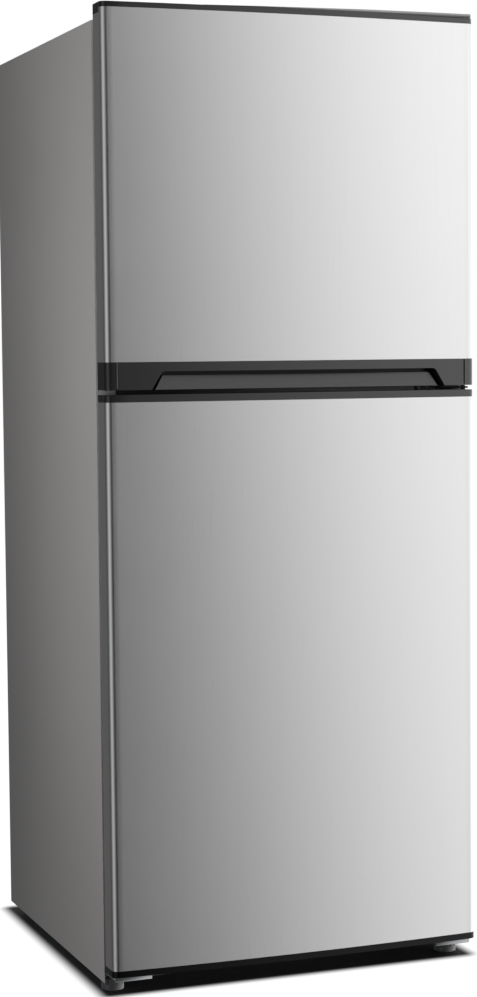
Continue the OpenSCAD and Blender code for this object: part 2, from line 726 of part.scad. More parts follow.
module evaporator_fins() {
    fins = 26;
    fin_x = freezer_half - 50;
    color("#c7ccd0") difference() {
        union() {
            for (i = [0:fins - 1]) {
                x = -fin_x + 2 * fin_x * i / (fins - 1);
                block(x - 0.5, cover_y + 9, freezer_floor + 34, x + 0.5, inner_back - 6,
                    freezer_floor + 194);
            }
            both_sides() block(fin_x + 3, cover_y + 6, freezer_floor + 24, fin_x + 4.5, inner_back,
                freezer_floor + 200);
        }
        for (i = [0:coil_levels - 1])
            translate([-freezer_half, (cover_y + inner_back) / 2,
                freezer_floor + 54 + i * 30]) rotate([0, 90, 0])
                cylinder(h = 2 * freezer_half, r = 4.05);
    }
}
coil_levels = 5;

module evaporator_tube() {
    turn_x = freezer_half - 34;
    y_mid = (cover_y + inner_back) / 2;
    corners = [for (i = [0:coil_levels - 1]) let (s = i % 2 == 0 ? 1 : -1, z = freezer_floor + 54 + i * 30)
        each [[-s * turn_x, y_mid, z], [s * turn_x, y_mid, z]]];
    color("#c7ccd0") tube_along(rounded_path(corners, 10, 4), 4, 8);
}

// Back cover of the freezer: air outlets round the fan, and the return air slots at its foot
module evaporator_cover() {
    clear = 1;
    color("#e9ebec") difference() {
        union() {
            along_y(cover_y - cover_t, cover_y) polygon(round_rect(-freezer_half + clear,
                freezer_floor + clear,
                freezer_half - clear, freezer_ceiling - clear, liner_r - clear));
            along_y(cover_y - cover_t - 7, cover_y - cover_t / 2)
                polygon(round_rect(-freezer_half * 0.72, fan_z - 62, freezer_half * 0.72, fan_z + 62, 18));
        }
        along_y(cover_y - cover_t - 5, cover_y + 1)
            polygon(round_rect(-freezer_half * 0.72 + 2, fan_z - 60, freezer_half * 0.72 - 2, fan_z + 60,
                16));
        for (x = [-1, 1], k = [0:6])
            block(x * freezer_half * 0.44 - 46, cover_y - 20, fan_z - 44 + k * 13,
                x * freezer_half * 0.44 + 46, cover_y + 1, fan_z - 38 + k * 13);
        for (k = [0:6])
            block(-38, cover_y - 20, fan_z - 42 + k * 13, 38, cover_y - cover_t, fan_z - 36 + k * 13);
        for (k = [-7:7])
            block(k * 26 - 9, cover_y - 20, freezer_floor + 12, k * 26 + 9, cover_y + 1,
                freezer_floor + 19);
    }
}

// The motor hangs on a cross strut between the side walls of the cooling chamber
module fan_motor() {
    color("#4a4d52") {
        translate([0, inner_back - 4, fan_z]) rotate([90, 0, 0]) cylinder(h = 30, r = 24);
        translate([0, inner_back - 33, fan_z]) rotate([90, 0, 0]) cylinder(h = 15, r = 2.5);
        block(-60, inner_back - 8, fan_z - 6, 60, inner_back, fan_z + 6);
    }
}

module evaporator_fan() {
    fan_y = cover_y + 16;
    color("#e4e6e8") {
        translate([0, fan_y, fan_z]) rotate([-90, 0, 0]) difference() {
            cylinder(h = 16, r = 14);
            translate([0, 0, -1]) cylinder(h = 18, r = 2.56);
        }
        for (a = [0:72:288]) translate([0, fan_y + 8, fan_z]) rotate([0, a, 0])
            translate([12, 0, -11]) rotate([0, 0, 0]) rotate([28, 0, 0]) cube([fan_r - 13, 1.6, 22]);
    }
}

// Wire-edged glass shelf of the freezer
module freezer_shelf() {
    x = freezer_half - 1.5;
    color("#d9e6e8") block(-x, shelf_front + 6, freezer_shelf_z + 0.1, x, cover_y - 12,
        freezer_shelf_z + glass_t);
    color("#f2f3f3") {
        block(-x, shelf_front, freezer_shelf_z + 0.1, x, shelf_front + 6, freezer_shelf_z + 14);
        block(-x, cover_y - 12, freezer_shelf_z + 0.1, x, cover_y - 8, freezer_shelf_z + 10);
    }
}

module ice_bin() {
    bin_x = -freezer_half + 22;
    bin_y = shelf_front + 34;
    bin_z = freezer_shelf_z + glass_t + 0.1;
    wall = 2.5;
    color("#eef4f6") difference() {
        union() {
            along_z(bin_z, bin_z + 78) polygon(round_rect(bin_x, bin_y, bin_x + 118, bin_y + 206, 16));
            along_z(bin_z + 70, bin_z + 78) polygon(round_rect(bin_x - 4, bin_y - 4, bin_x + 122,
                bin_y + 210, 20));
        }
        along_z(bin_z + wall, bin_z + 80) polygon(round_rect(bin_x + wall, bin_y + wall,
            bin_x + 118 - wall, bin_y + 206 - wall, 16 - wall));
    }
}

// ---------------------------------------------------------------- fridge interior

// Air duct down the back wall, with pairs of outlet slots
module air_duct() {
    duct_half = 78;
    z0 = crisper_top + 30;
    z1 = fridge_ceiling - 2;
    slots = 4;
    color("#eceeef") difference() {
        along_z(z0, z1) polygon([[-duct_half, inner_back - 0.2], [-duct_half + 12, inner_back - duct_d],
            [duct_half - 12, inner_back - duct_d], [duct_half, inner_back - 0.2]]);
        along_z(z0 + 2, z1 - 2) polygon([[-duct_half + 4, inner_back + 1], [-duct_half + 14,
            inner_back - duct_d + 2],
            [duct_half - 14, inner_back - duct_d + 2], [duct_half - 4, inner_back + 1]]);
        for (i = [0:slots - 1], k = [0:2], s = [-1, 1])
            block(s * 36 - 22, inner_back - duct_d - 1, z0 + (i + 0.6) * (z1 - z0) / slots + k * 9,
                s * 36 + 22, inner_back - duct_d + 3, z0 + (i + 0.6) * (z1 - z0) / slots + k * 9 + 4.5);
    }
}

// Thermostat and lamp housing under the fridge's ceiling, with the light switch at its left end
box_half = fridge_half * 0.5;
box_y0 = shelf_front + 10;
box_y1 = box_y0 + 110;
box_h = 44;
knob_x = box_half * 0.52;
knob_r = 15;
knob_z = fridge_ceiling - 20;
switch_x = -box_half - 40;
switch_z = fridge_dyke_z1 - 8;
dyke_face = door_back + dyke_h;
plunger_travel = 6;

module control_housing() {
    z1 = fridge_ceiling - 0.1;
    color("#f0f1f2") {
        difference() {
            intersection() {
                along_x(-box_half, box_half) polygon([[box_y0, z1], [box_y0, z1 - 32], [box_y0 + 12,
                    z1 - box_h],
                    [box_y1, z1 - box_h + 10], [box_y1, z1]]);
                along_y(box_y0 - 1, box_y1 + 1) polygon(round_rect(-box_half, z1 - box_h - 20, box_half,
                    z1 + 20, 18));
            }
            translate([knob_x, box_y0 - 1, knob_z]) rotate([-90, 0, 0]) cylinder(h = 14, r = 3.28);
            block(-box_half + 16, box_y0 + 22, z1 - box_h - 1, box_half * 0.1, box_y1 - 12,
                z1 - box_h + 24);
        }
        difference() {
            block(switch_x - 12, dyke_face + 8, switch_z - 8, switch_x + 12, dyke_face + 40, z1);
            translate([switch_x, dyke_face + 7, switch_z]) rotate([-90, 0, 0]) cylinder(h = 26, r = 5.08);
        }
    }
}

module thermostat_knob() {
    color("#dfe2e4") translate([knob_x, box_y0 - 0.4, knob_z]) rotate([90, 0, 0]) {
        difference() {
            cylinder(h = 9, r = knob_r);
            for (a = [0:30:330]) rotate([0, 0, a]) translate([knob_r + 1.4, 0, -1]) cylinder(h = 12,
                r = 2.6);
        }
        block(-2.5, -knob_r + 3, 8, 2.5, knob_r - 3, 14);
        translate([0, 0, -12]) cylinder(h = 13, r = 3.2);
    }
}

module lamp_lens() {
    z1 = fridge_ceiling - 0.1;
    color("#fbf7e8") difference() {
        block(-box_half + 16.5, box_y0 + 22.5, z1 - box_h - 5, box_half * 0.1 - 0.5, box_y1 - 12.5,
            z1 - box_h + 23);
        block(-box_half + 18.5, box_y0 + 24.5, z1 - box_h - 3, box_half * 0.1 - 2.5, box_y1 - 14.5,
            z1 - box_h + 30);
    }
}

module light_switch_plunger() {
    color("#f5f5f5") translate([switch_x, dyke_face + contact_gap, switch_z]) rotate([-90, 0, 0]) {
        cylinder(h = 22, r = 5);
    }
}

shelf_x = fridge_half - 2;
module shelf_levels(first = 1) {
    for (i = [first:shelf_count]) translate([0, 0, crisper_top + i * shelf_pitch + 0.1]) children();
}
module shelf_glass() {
    color("#cfe3e2") shelf_levels() block(-shelf_x + 4, shelf_front + 8, 0, shelf_x - 4, shelf_back - 8,
        glass_t);
}
module shelf_trims() {
    color("#f4f5f5") shelf_levels() {
        difference() {
            along_x(-shelf_x, shelf_x) polygon([[shelf_front, 0], [shelf_front + 14, 0],
                [shelf_front + 14, glass_t + 2], [shelf_front + 4, glass_t + 8], [shelf_front,
                    glass_t + 6]]);
            block(-shelf_x + 3.9, shelf_front + 7.9, -1, shelf_x - 3.9, shelf_front + 16, glass_t + 0.1);
        }
        difference() {
            block(-shelf_x, shelf_back - 14, 0, shelf_x, shelf_back, glass_t + 12);
            block(-shelf_x + 3.9, shelf_back - 16, -1, shelf_x - 3.9, shelf_back - 7.9, glass_t + 0.1);
        }
    }
}
module crisper_cover() {
    z = crisper_top + 0.1;
    color("#cfe3e2") block(-shelf_x, shelf_front + 10, z, shelf_x, shelf_back, z + glass_t);
    color("#f4f5f5") block(-shelf_x, shelf_front, z, shelf_x, shelf_front + 10, z + glass_t + 6);
}

drawer_half = fridge_half - liner_r + 2;
drawer_back = step_y - 8;
module crisper_drawer() {
    z0 = fridge_floor + contact_gap;
    z1 = z0 + drawer_h;
    color("#dfeef2") {
        difference() {
            along_z(z0, z1) polygon(round_rect(-drawer_half, drawer_front, drawer_half, drawer_back, 14));
            along_z(z0 + drawer_wall, z1 + 1) polygon(round_rect(-drawer_half + drawer_wall,
                drawer_front + drawer_wall,
                drawer_half - drawer_wall, drawer_back - drawer_wall, 14 - drawer_wall));
        }
        along_x(-drawer_half + 20, drawer_half - 20) polygon([[drawer_front - 10, z1 - 4],
            [drawer_front - 10, z1 - 16],
            [drawer_front - 7.5, z1 - 16], [drawer_front - 7.5, z1 - 4], [drawer_front + 1, z1 - 4],
            [drawer_front + 1, z1], [drawer_front - 6, z1]]);
    }
}

// ---------------------------------------------------------------- door pieces

// Bent metal skin between z0 and z1. Its two sides stop short of z1 by side_short.
module door_skin(z0, z1, side_short = 0) {
    color("#c8c9cb") difference() {
        along_z(z0, z1) difference() {
            polygon(door_plan(0, door_back));
            polygon(door_plan(skin_t, door_back + 1));
        }
        if (side_short > 0) block(-half - 1, side_front, z1 - side_short, half + 1, door_back + 1, z1 + 1);
    }
}

module ring_y(y0, y1, half_w, z0, z1, wall, r) {
    along_y(y0, y1) difference() {
        polygon(round_rect(-half_w, z0, half_w, z1, r));
        polygon(round_rect(-half_w + wall, z0 + wall, half_w - wall, z1 - wall, max(r - wall * 0.6, 4)));
    }
}

// White inner panel with its dyke, which the foam fills from behind, and ledges for the bins
module door_liner(z0, z1, dyke_half, dyke_z0, dyke_z1, ledges) {
    wall = cap_wall + 0.1;
    color("#f4f5f5") {
        difference() {
            union() {
                block(-half + wall, door_back - liner_t, z0 + wall, half - wall, door_back, z1 - wall);
                ring_y(door_back - liner_t / 2, door_back + dyke_h, dyke_half, dyke_z0, dyke_z1, dyke_w,
                    24);
            }
            ring_y(door_back - liner_t - 1, door_back + dyke_h - liner_t, dyke_half - liner_t,
                dyke_z0 + liner_t,
                dyke_z1 - liner_t, dyke_w - 2 * liner_t, 24 - liner_t);
        }
        for (z = ledges) both_sides()
            block(dyke_half - dyke_w - 5, door_back - liner_t / 2, z - 6, dyke_half - dyke_w + liner_t / 2,
                door_back + dyke_h - 4, z);
    }
}
module dyke_core(dyke_half, dyke_z0, dyke_z1) {
    ring_y(door_back - liner_t - 0.5, door_back + dyke_h - liner_t, dyke_half - liner_t, dyke_z0 + liner_t,
        dyke_z1 - liner_t, dyke_w - 2 * liner_t, 24 - liner_t);
}

// Magnetic gasket: a base strip and a narrower soft face that stops just short of the cabinet
module door_gasket(z0, z1) {
    half_w = half - gasket_inset;
    color("#8f9194") {
        ring_y(door_back, door_back + gasket_gap * 0.55, half_w, z0, z1, gasket_w, 6);
        ring_y(door_back + gasket_gap * 0.5, cab_front - contact_gap, half_w - 2, z0 + 2, z1 - 2,
            gasket_w - 5, 5);
    }
}

// Boss and bore for a hinge bushing, measured from the cap's outer face at z with the sign of the way in
module bush_boss(z, way) {
    z0 = way > 0 ? z : z - bush_len;
    rod(pivot_x, pivot_y, z0, z0 + bush_len, boss_r);
}
module bush_bore(z, way) {
    z0 = way > 0 ? z - 1 : z - bush_len - 1;
    rod(pivot_x, pivot_y, z0, z0 + bush_len + 2, pin_r + pin_clearance);
}

// Tray-shaped end cap of a door: its plate is at z_face and its walls stand the way in
module end_cap(z_face, way, height) {
    z0 = way > 0 ? z_face : z_face - height;
    hollow_z0 = way > 0 ? z_face + cap_wall : z_face - height - 1;
    difference() {
        along_z(z0, z0 + height) polygon(door_plan(0, door_back));
        along_z(hollow_z0, hollow_z0 + height - cap_wall + 1) polygon(door_plan(cap_wall, door_back + 1));
    }
}

// The part of an end cap that slides inside the skin
module cap_tongue(z0, z1) {
    difference() {
        along_z(z0, z1) polygon(door_plan(skin_t + 0.1, door_back - liner_t - 0.2));
        along_z(z0 - 1, z1 + 1) polygon(door_plan(skin_t + cap_wall, door_back + 1));
    }
}

module freezer_door_top_cap() {
    skirt_z = freezer_z1 - top_cap_h - cap_skirt;
    color("#232426") difference() {
        union() {
            end_cap(freezer_z1, -1, top_cap_h);
            intersection() {
                end_cap(freezer_z1, -1, top_cap_h + cap_skirt);
                block(-half, side_front, skirt_z, half, door_back, freezer_z1);
            }
            cap_tongue(skirt_z, freezer_z1 - top_cap_h + 0.5);
            bush_boss(freezer_z1, -1);
        }
        bush_bore(freezer_z1, -1);
    }
}

// Front view of the finger pocket, moved outwards by d
module pocket_outline(d) {
    height = pocket_h + 2 + d;
    slant_angle = atan(pocket_slant / height);
    corner_x = pocket_half + d - pocket_slant * (1 - pocket_r / height) - pocket_r / cos(slant_angle);
    corner_z = freezer_z0 - 2 + height - pocket_r;
    polygon(concat([[pocket_half + d, freezer_z0 - 2]],
        arc(corner_x, corner_z, pocket_r, slant_angle, 90, 6),
        arc(-corner_x, corner_z, pocket_r, 90, 180 - slant_angle, 6), [[-pocket_half - d,
            freezer_z0 - 2]]));
}

// Finger pocket, moved outwards by d: open in front and below, hooked up behind the lip
module finger_pocket(d) {
    back = front_y + pocket_d + d;
    hook_half = pocket_half - pocket_slant - 12 + d;
    translate([pocket_shift, 0, 0]) {
        along_y(front_y - 5, back) pocket_outline(d);
        along_y(front_y + door_crown + lip_t - d, back) polygon(round_rect(-hook_half, freezer_z0 + 2,
            hook_half, freezer_z0 + pocket_h + hook_h + d, 10));
    }
}

// Inclined face low in the pocket, with a deep groove left above it and beside it
module pocket_slope() {
    back = front_y + pocket_d + 1;
    top_z = freezer_z0 + pocket_h - slope_drop;
    low_half = pocket_half - pocket_groove;
    top_half = low_half - pocket_slant * (1 - slope_drop / pocket_h);
    translate([pocket_shift, 0, 0]) intersection() {
        along_x(-pocket_half, pocket_half) polygon([[front_y + slope_y0, freezer_z0],
            [front_y + slope_y1, top_z], [back, top_z], [back, freezer_z0]]);
        along_y(front_y, back) polygon([[-low_half, freezer_z0 - 1], [low_half, freezer_z0 - 1],
            [top_half, top_z + 1], [-top_half, top_z + 1]]);
    }
}

module freezer_door_handle_trim() {
    ridge_x = half - 17;
    color("#232426") difference() {
        union() {
            end_cap(freezer_z0, 1, handle_trim_h);
            cap_tongue(freezer_z0 + handle_trim_h - 0.5, freezer_z0 + handle_trim_h + cap_skirt);
            intersection() {
                finger_pocket(cap_wall);
                along_z(freezer_z0, freezer_z0 + handle_trim_h) polygon(door_plan(0,
                    door_back - liner_t - 0.2));
            }
            bush_boss(freezer_z0, 1);
            both_sides() rod(ridge_x, side_front - door_edge_r - 0.5, freezer_z0 + 2,
                freezer_z0 + handle_trim_h - 1, 1.6);
        }
        difference() {
            finger_pocket(0);
            pocket_slope();
        }
        bush_bore(freezer_z0, 1);
    }
}

// Foam of a door: the space inside the skin and the caps, with the dyke's core
module door_foam(z0, z1, skin_z0, skin_z1, dyke_half, dyke_z0, dyke_z1) {
    back = door_back - liner_t;
    tongue = skin_t + cap_wall;
    along_z(skin_z0 + cap_skirt, skin_z1 - cap_skirt) polygon(door_plan(skin_t, back));
    along_z(z0 + cap_wall, z1 - cap_wall) polygon(door_plan(tongue, back));
    dyke_core(dyke_half, dyke_z0, dyke_z1);
}

module freezer_door_foam() {
    color("#e8d9a0") difference() {
        door_foam(freezer_z0, freezer_z1, freezer_z0 + handle_trim_h, freezer_z1 - top_cap_h,
            freezer_dyke_half, freezer_dyke_z0, freezer_dyke_z1);
        finger_pocket(cap_wall + 0.1);
        for (z = [freezer_z0, freezer_z1 - bush_len]) rod(pivot_x, pivot_y, z - 1, z + bush_len + 1,
            boss_r + 0.1);
    }
}

module freezer_door_skin() { door_skin(freezer_z0 + handle_trim_h, freezer_z1 - top_cap_h, cap_skirt); }

freezer_bins = [freezer_dyke_z0 + dyke_w + 22,
    freezer_dyke_z0 + dyke_w + 22 + (freezer_dyke_z1 - freezer_dyke_z0) * 0.42];
fridge_bins = [for (share = [0, 0.4,
    0.72]) fridge_dyke_z0 + dyke_w + 14 + (fridge_dyke_z1 - fridge_dyke_z0) * share];
fridge_bin_h = [104, 70, 70];

module freezer_door_liner() {
    door_liner(freezer_z0, freezer_z1, freezer_dyke_half, freezer_dyke_z0, freezer_dyke_z1, freezer_bins);
}
module freezer_door_gasket() { door_gasket(freezer_seal_z0, freezer_seal_z1); }

// Open bin between the dyke's rails, with a thick rim
module door_bin(dyke_half, z, height) {
    half_w = dyke_half - dyke_w - fit_gap;
    y0 = door_back + 0.2;
    y1 = door_back + bin_d;
    wall = bin_wall;
    z0 = z + 0.1;
    difference() {
        union() {
            along_z(z0, z0 + height) polygon(concat([[-half_w, y0], [half_w, y0]],
                arc(half_w - 16, y1 - 16, 16, 0, 90, 6), arc(-half_w + 16, y1 - 16, 16, 90, 180, 6)));
            along_z(z0 + height - 9, z0 + height) polygon(concat([[-half_w, y0], [half_w, y0]],
                arc(half_w - 16, y1 - 14.5, 16, 0, 90, 6), arc(-half_w + 16, y1 - 14.5, 16, 90, 180, 6)));
        }
        along_z(z0 + wall, z0 + height + 1) polygon(concat([[-half_w + wall, y0 + wall], [half_w - wall,
            y0 + wall]],
            arc(half_w - 16, y1 - 16, 16 - wall, 0, 90, 6), arc(-half_w + 16, y1 - 16, 16 - wall, 90,
                180, 6)));
    }
}
module freezer_door_bins() {
    color("#dcecef") for (z = freezer_bins) door_bin(freezer_dyke_half, z, 66);
}

module fridge_door_skin() { door_skin(fridge_z0 + foot_cap_h, fridge_z1 - grip_cap_h); }

// Finger groove behind the front lip of the fridge door's top cap
module grip_groove(d) {
    along_z(fridge_z1 - grip_d - d, fridge_z1 + 1) polygon(round_rect(-grip_half - d, grip_y0 - d,
        grip_half + d, grip_y1 + d, 8));
}

module fridge_door_caps() {
    color("#232426") {
        difference() {
            union() {
                end_cap(fridge_z1, -1, grip_cap_h);
                cap_tongue(fridge_z1 - grip_cap_h - cap_skirt, fridge_z1 - grip_cap_h + 0.5);
                grip_groove(cap_wall);
                bush_boss(fridge_z1, -1);
            }
            grip_groove(0);
            bush_bore(fridge_z1, -1);
            along_z(fridge_z1, fridge_z1 + 5) polygon(door_plan(-5, door_back + 5));
        }
        difference() {
            union() {
                end_cap(fridge_z0, 1, foot_cap_h);
                cap_tongue(fridge_z0 + foot_cap_h - 0.5, fridge_z0 + foot_cap_h + cap_skirt);
                bush_boss(fridge_z0, 1);
            }
            bush_bore(fridge_z0, 1);
        }
    }
}

// Room for the grip groove, and thin joints where the foam beside and behind it was filled later
module grip_foam_cut() {
    cut_z = fridge_z1 - grip_d - cap_wall - 0.2;
    side = grip_half + cap_wall + 0.2;
    block(-side, front_y - 1, cut_z, side, grip_y1 + cap_wall + 0.2, fridge_z1);
    block(-half, front_y - 1, cut_z, half, door_back + 1, cut_z + foam_joint);
    both_sides() block(side, front_y - 1, cut_z, side + foam_joint, door_back + 1, fridge_z1);
}

module fridge_door_foam() {
    color("#e8d9a0") difference() {
        door_foam(fridge_z0, fridge_z1, fridge_z0 + foot_cap_h, fridge_z1 - grip_cap_h,
            fridge_dyke_half, fridge_dyke_z0, fridge_dyke_z1);
        grip_foam_cut();
        for (z = [fridge_z0, fridge_z1 - bush_len]) rod(pivot_x, pivot_y, z - 1, z + bush_len + 1,
            boss_r + 0.1);
    }
}
module fridge_door_liner() {
    door_liner(fridge_z0, fridge_z1, fridge_dyke_half, fridge_dyke_z0, fridge_dyke_z1, fridge_bins);
}
module fridge_door_gasket() { door_gasket(fridge_seal_z0, fridge_seal_z1); }

module fridge_door_bins() {
    color("#dcecef") for (i = [0:len(fridge_bins) - 1]) door_bin(fridge_dyke_half, fridge_bins[i],
        fridge_bin_h[i]);
}

// ---------------------------------------------------------------- one line per node

side_panel_left();
side_panel_right();
top_panel();
back_panel();
base_pan();
mullion_trim();
cabinet_foam();
freezer_liner();
fridge_liner();
top_hinge();
middle_hinge();
bottom_hinge();
left_foot_bracket();
hinge_screws();
top_hinge_cover();
rear_roller_brackets();
rear_roller_left();
rear_roller_right();
levelling_foot_left();
levelling_foot_right();
compressor();
compressor_mounts();
compressor_relay();
compressor_shelf();
condenser_tube();
condenser_wires();
condenser_brackets();
filter_drier();
refrigerant_lines();
drain_pan();
mains_inlet();
evaporator_fins();
evaporator_tube();
evaporator_cover();
fan_motor();
evaporator_fan();
freezer_shelf();
ice_bin();
air_duct();
control_housing();
thermostat_knob();
lamp_lens();
light_switch_plunger();
shelf_glass();
shelf_trims();
crisper_cover();
crisper_drawer();
freezer_door_skin();
freezer_door_top_cap();
freezer_door_handle_trim();
freezer_door_foam();
freezer_door_liner();
freezer_door_gasket();
freezer_door_bins();
fridge_door_skin();
fridge_door_caps();
fridge_door_foam();
fridge_door_liner();
fridge_door_gasket();
fridge_door_bins();
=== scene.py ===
import math
import json

import bmesh
import bpy
from bpy.props import FloatProperty, FloatVectorProperty, PointerProperty
from mathutils import Matrix, Vector


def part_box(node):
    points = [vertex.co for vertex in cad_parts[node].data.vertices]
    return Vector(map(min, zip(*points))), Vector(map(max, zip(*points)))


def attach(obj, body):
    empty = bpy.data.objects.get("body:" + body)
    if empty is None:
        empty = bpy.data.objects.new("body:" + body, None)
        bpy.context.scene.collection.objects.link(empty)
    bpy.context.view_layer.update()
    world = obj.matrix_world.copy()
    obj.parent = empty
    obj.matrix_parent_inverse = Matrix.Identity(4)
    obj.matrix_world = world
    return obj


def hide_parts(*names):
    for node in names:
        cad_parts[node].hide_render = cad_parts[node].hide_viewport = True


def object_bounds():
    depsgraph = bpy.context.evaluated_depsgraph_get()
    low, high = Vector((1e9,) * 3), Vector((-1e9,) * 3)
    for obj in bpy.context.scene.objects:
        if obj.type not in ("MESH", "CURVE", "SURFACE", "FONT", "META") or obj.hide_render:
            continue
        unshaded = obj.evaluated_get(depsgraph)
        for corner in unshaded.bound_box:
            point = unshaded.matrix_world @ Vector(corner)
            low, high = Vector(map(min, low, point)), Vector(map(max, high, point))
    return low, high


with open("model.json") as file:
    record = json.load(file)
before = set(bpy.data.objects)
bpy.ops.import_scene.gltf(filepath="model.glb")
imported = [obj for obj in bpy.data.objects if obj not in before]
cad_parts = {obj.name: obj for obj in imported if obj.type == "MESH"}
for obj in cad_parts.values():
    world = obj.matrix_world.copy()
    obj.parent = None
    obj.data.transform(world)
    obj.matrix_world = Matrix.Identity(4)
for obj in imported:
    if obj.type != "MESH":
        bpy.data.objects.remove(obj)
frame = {"nodes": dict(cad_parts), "record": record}
CAD_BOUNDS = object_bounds()

bl_info = {
    "name": "Top freezer refrigerator",
    "version": (1, 0, 0),
    "blender": (4, 5, 0),
    "location": "View3D > Sidebar > Refrigerator",
    "description": "Finishes a two door refrigerator round its CAD frame",
    "category": "Object",
}

MM = 0.001
FRONT, BACK = CAD_BOUNDS[0][1], CAD_BOUNDS[1][1]


# ------------------------------------------------------------------ shader maths


class Socket:
    """A shader value that takes part in Python arithmetic."""

    def __init__(self, graph, link):
        self.graph = graph
        self.link = link

    def _math(self, operation, first, second=0.0):
        node = self.graph.node("ShaderNodeMath", {"operation": operation}, {0: first, 1: second})
        return Socket(self.graph, node.outputs[0])

    def __add__(self, other):
        return self._math("ADD", self, other)

    def __sub__(self, other):
        return self._math("SUBTRACT", self, other)

    def __rsub__(self, other):
        return self._math("SUBTRACT", other, self)

    def __mul__(self, other):
        return self._math("MULTIPLY", self, other)

    def __pow__(self, other):
        return self._math("POWER", self, other)

    def __abs__(self):
        return self._math("ABSOLUTE", self)

    def at_least(self, other):
        """The larger of the two."""
        return self._math("MAXIMUM", self, other)

    def at_most(self, other):
        """The smaller of the two."""
        return self._math("MINIMUM", self, other)

    def exp(self):
        """The exponential of the value."""
        return self._math("EXPONENT", self)

    __rmul__ = __mul__


class Graph:
    """A node tree that is filled from Python."""

    def __init__(self, tree):
        self.tree = tree
        self.tree.nodes.clear()

    def node(self, kind, settings=None, values=None):
        """Makes a node, applies its settings, then fills or links its sockets."""
        node = self.tree.nodes.new(kind)
        for key, value in (settings or {}).items():
            setattr(node, key, value)
        for key, value in (values or {}).items():
            link = value.link if isinstance(value, Socket) else value
            if isinstance(link, bpy.types.NodeSocket):
                self.tree.links.new(link, node.inputs[key])
            else:
                node.inputs[key].default_value = link
        return node


class Finish(Graph):
    """One procedural material, built round a Principled shader."""

    def __init__(self, name):
        self.material = bpy.data.materials.new(name)
        self.material.use_nodes = True
        super().__init__(self.material.node_tree)
        self.shader = self.node("ShaderNodeBsdfPrincipled")
        self.node("ShaderNodeOutputMaterial", {}, {"Surface": self.shader.outputs[0]})
        self.place = self.node("ShaderNodeTexCoord").outputs["Object"]

    def scaled(self, scale):
        """Object coordinates multiplied by a scale for each axis."""
        return self.node("ShaderNodeMapping", {}, {"Vector": self.place, "Scale": scale}).outputs[0]

    def noise(self, scale, detail=2.0, roughness=0.5):
        """Noise from 0 to 1, with features one metre over scale in size."""
        stretched = self.scaled(scale if isinstance(scale, tuple) else (scale,) * 3)
        made = self.node("ShaderNodeTexNoise", {}, {
            "Vector": stretched, "Scale": 1.0, "Detail": detail, "Roughness": roughness})
        return Socket(self, made.outputs[0])

    def cells(self, scale):
        """A random grey for each cell of a cell pattern."""
        made = self.node("ShaderNodeTexVoronoi", {}, {"Vector": self.scaled((scale,) * 3), "Scale": 1.0})
        grey = self.node("ShaderNodeRGBToBW", {}, {"Color": made.outputs["Color"]})
        return Socket(self, grey.outputs[0])

    def axis(self, letter):
        """One object coordinate in metres."""
        parts = self.node("ShaderNodeSeparateXYZ", {}, {"Vector": self.place})
        return Socket(self, parts.outputs[letter])

    def normal_axis(self, letter):
        """One component of the surface's own normal."""
        normal = self.node("ShaderNodeTexCoord").outputs["Normal"]
        return Socket(self, self.node("ShaderNodeSeparateXYZ", {}, {"Vector": normal}).outputs[letter])

    def step(self, value, low, high):
        """0 below low and 1 above high."""
        made = self.node("ShaderNodeMapRange", {"interpolation_type": "SMOOTHSTEP"}, {
            "Value": value, "From Min": low, "From Max": high})
        return Socket(self, made.outputs[0])

    def blend(self, mask, first, second):
        """A colour between first and second."""
        values = {0: mask}
        for index, colour in ((6, first), (7, second)):
            values[index] = colour if isinstance(colour, bpy.types.NodeSocket) else (*colour, 1.0)
        return self.node("ShaderNodeMix", {"data_type": "RGBA"}, values).outputs[2]

    def bump(self, height, depth):
        """A normal from a height between 0 and 1 and a depth in metres."""
        return self.node("ShaderNodeBump", {}, {
            "Height": height, "Distance": depth, "Strength": 1.0}).outputs[0]

    def surface(self, **values):
        """Fills the shader's sockets and gives back the material. An underscore stands for a space."""
        for key, value in values.items():
            socket = self.shader.inputs[key.replace("_", " ").title().replace("Ior", "IOR")]
            link = value.link if isinstance(value, Socket) else value
            if isinstance(link, bpy.types.NodeSocket):
                self.tree.links.new(link, socket)
            else:
                socket.default_value = (*link, 1.0) if isinstance(link, tuple) and len(link) == 3 else link
        return self.material


def shade(colour, factor):
    """A colour made lighter or darker."""
    return tuple(min(1.0, channel * factor) for channel in colour)


# ------------------------------------------------------------------ finishes


def brushed_steel(name, colour, roughness=0.3):
    """Stainless sheet with a fine vertical brushing and faint cloudy wear."""
    f = Finish(name)
    grain = f.noise((2600.0, 2600.0, 9.0), 3.0, 0.6)
    strokes = f.noise((700.0, 700.0, 3.0), 2.0, 0.5)
    clouds = f.noise(5.0, 3.0, 0.5)
    tone = grain * 0.5 + strokes * 0.3 + clouds * 0.2
    return f.surface(
        base_color=f.blend(tone, shade(colour, 0.93), shade(colour, 1.06)),
        roughness=grain * 0.1 + clouds * 0.04 + (roughness - 0.07),
        normal=f.bump(grain * 0.7 + strokes * 0.3, 0.00004),
        metallic=1.0,
    )


def satin_paint(name, colour, roughness=0.42):
    """Baked sheet-metal paint with a fine orange-peel texture."""
    f = Finish(name)
    peel = f.noise(900.0, 2.0, 0.5)
    clouds = f.noise(3.0, 4.0, 0.55)
    return f.surface(
        base_color=f.blend(clouds, shade(colour, 0.93), shade(colour, 1.06)),
        roughness=peel * 0.1 + clouds * 0.08 + (roughness - 0.09),
        normal=f.bump(peel, 0.00012),
        specular_ior_level=0.5,
    )


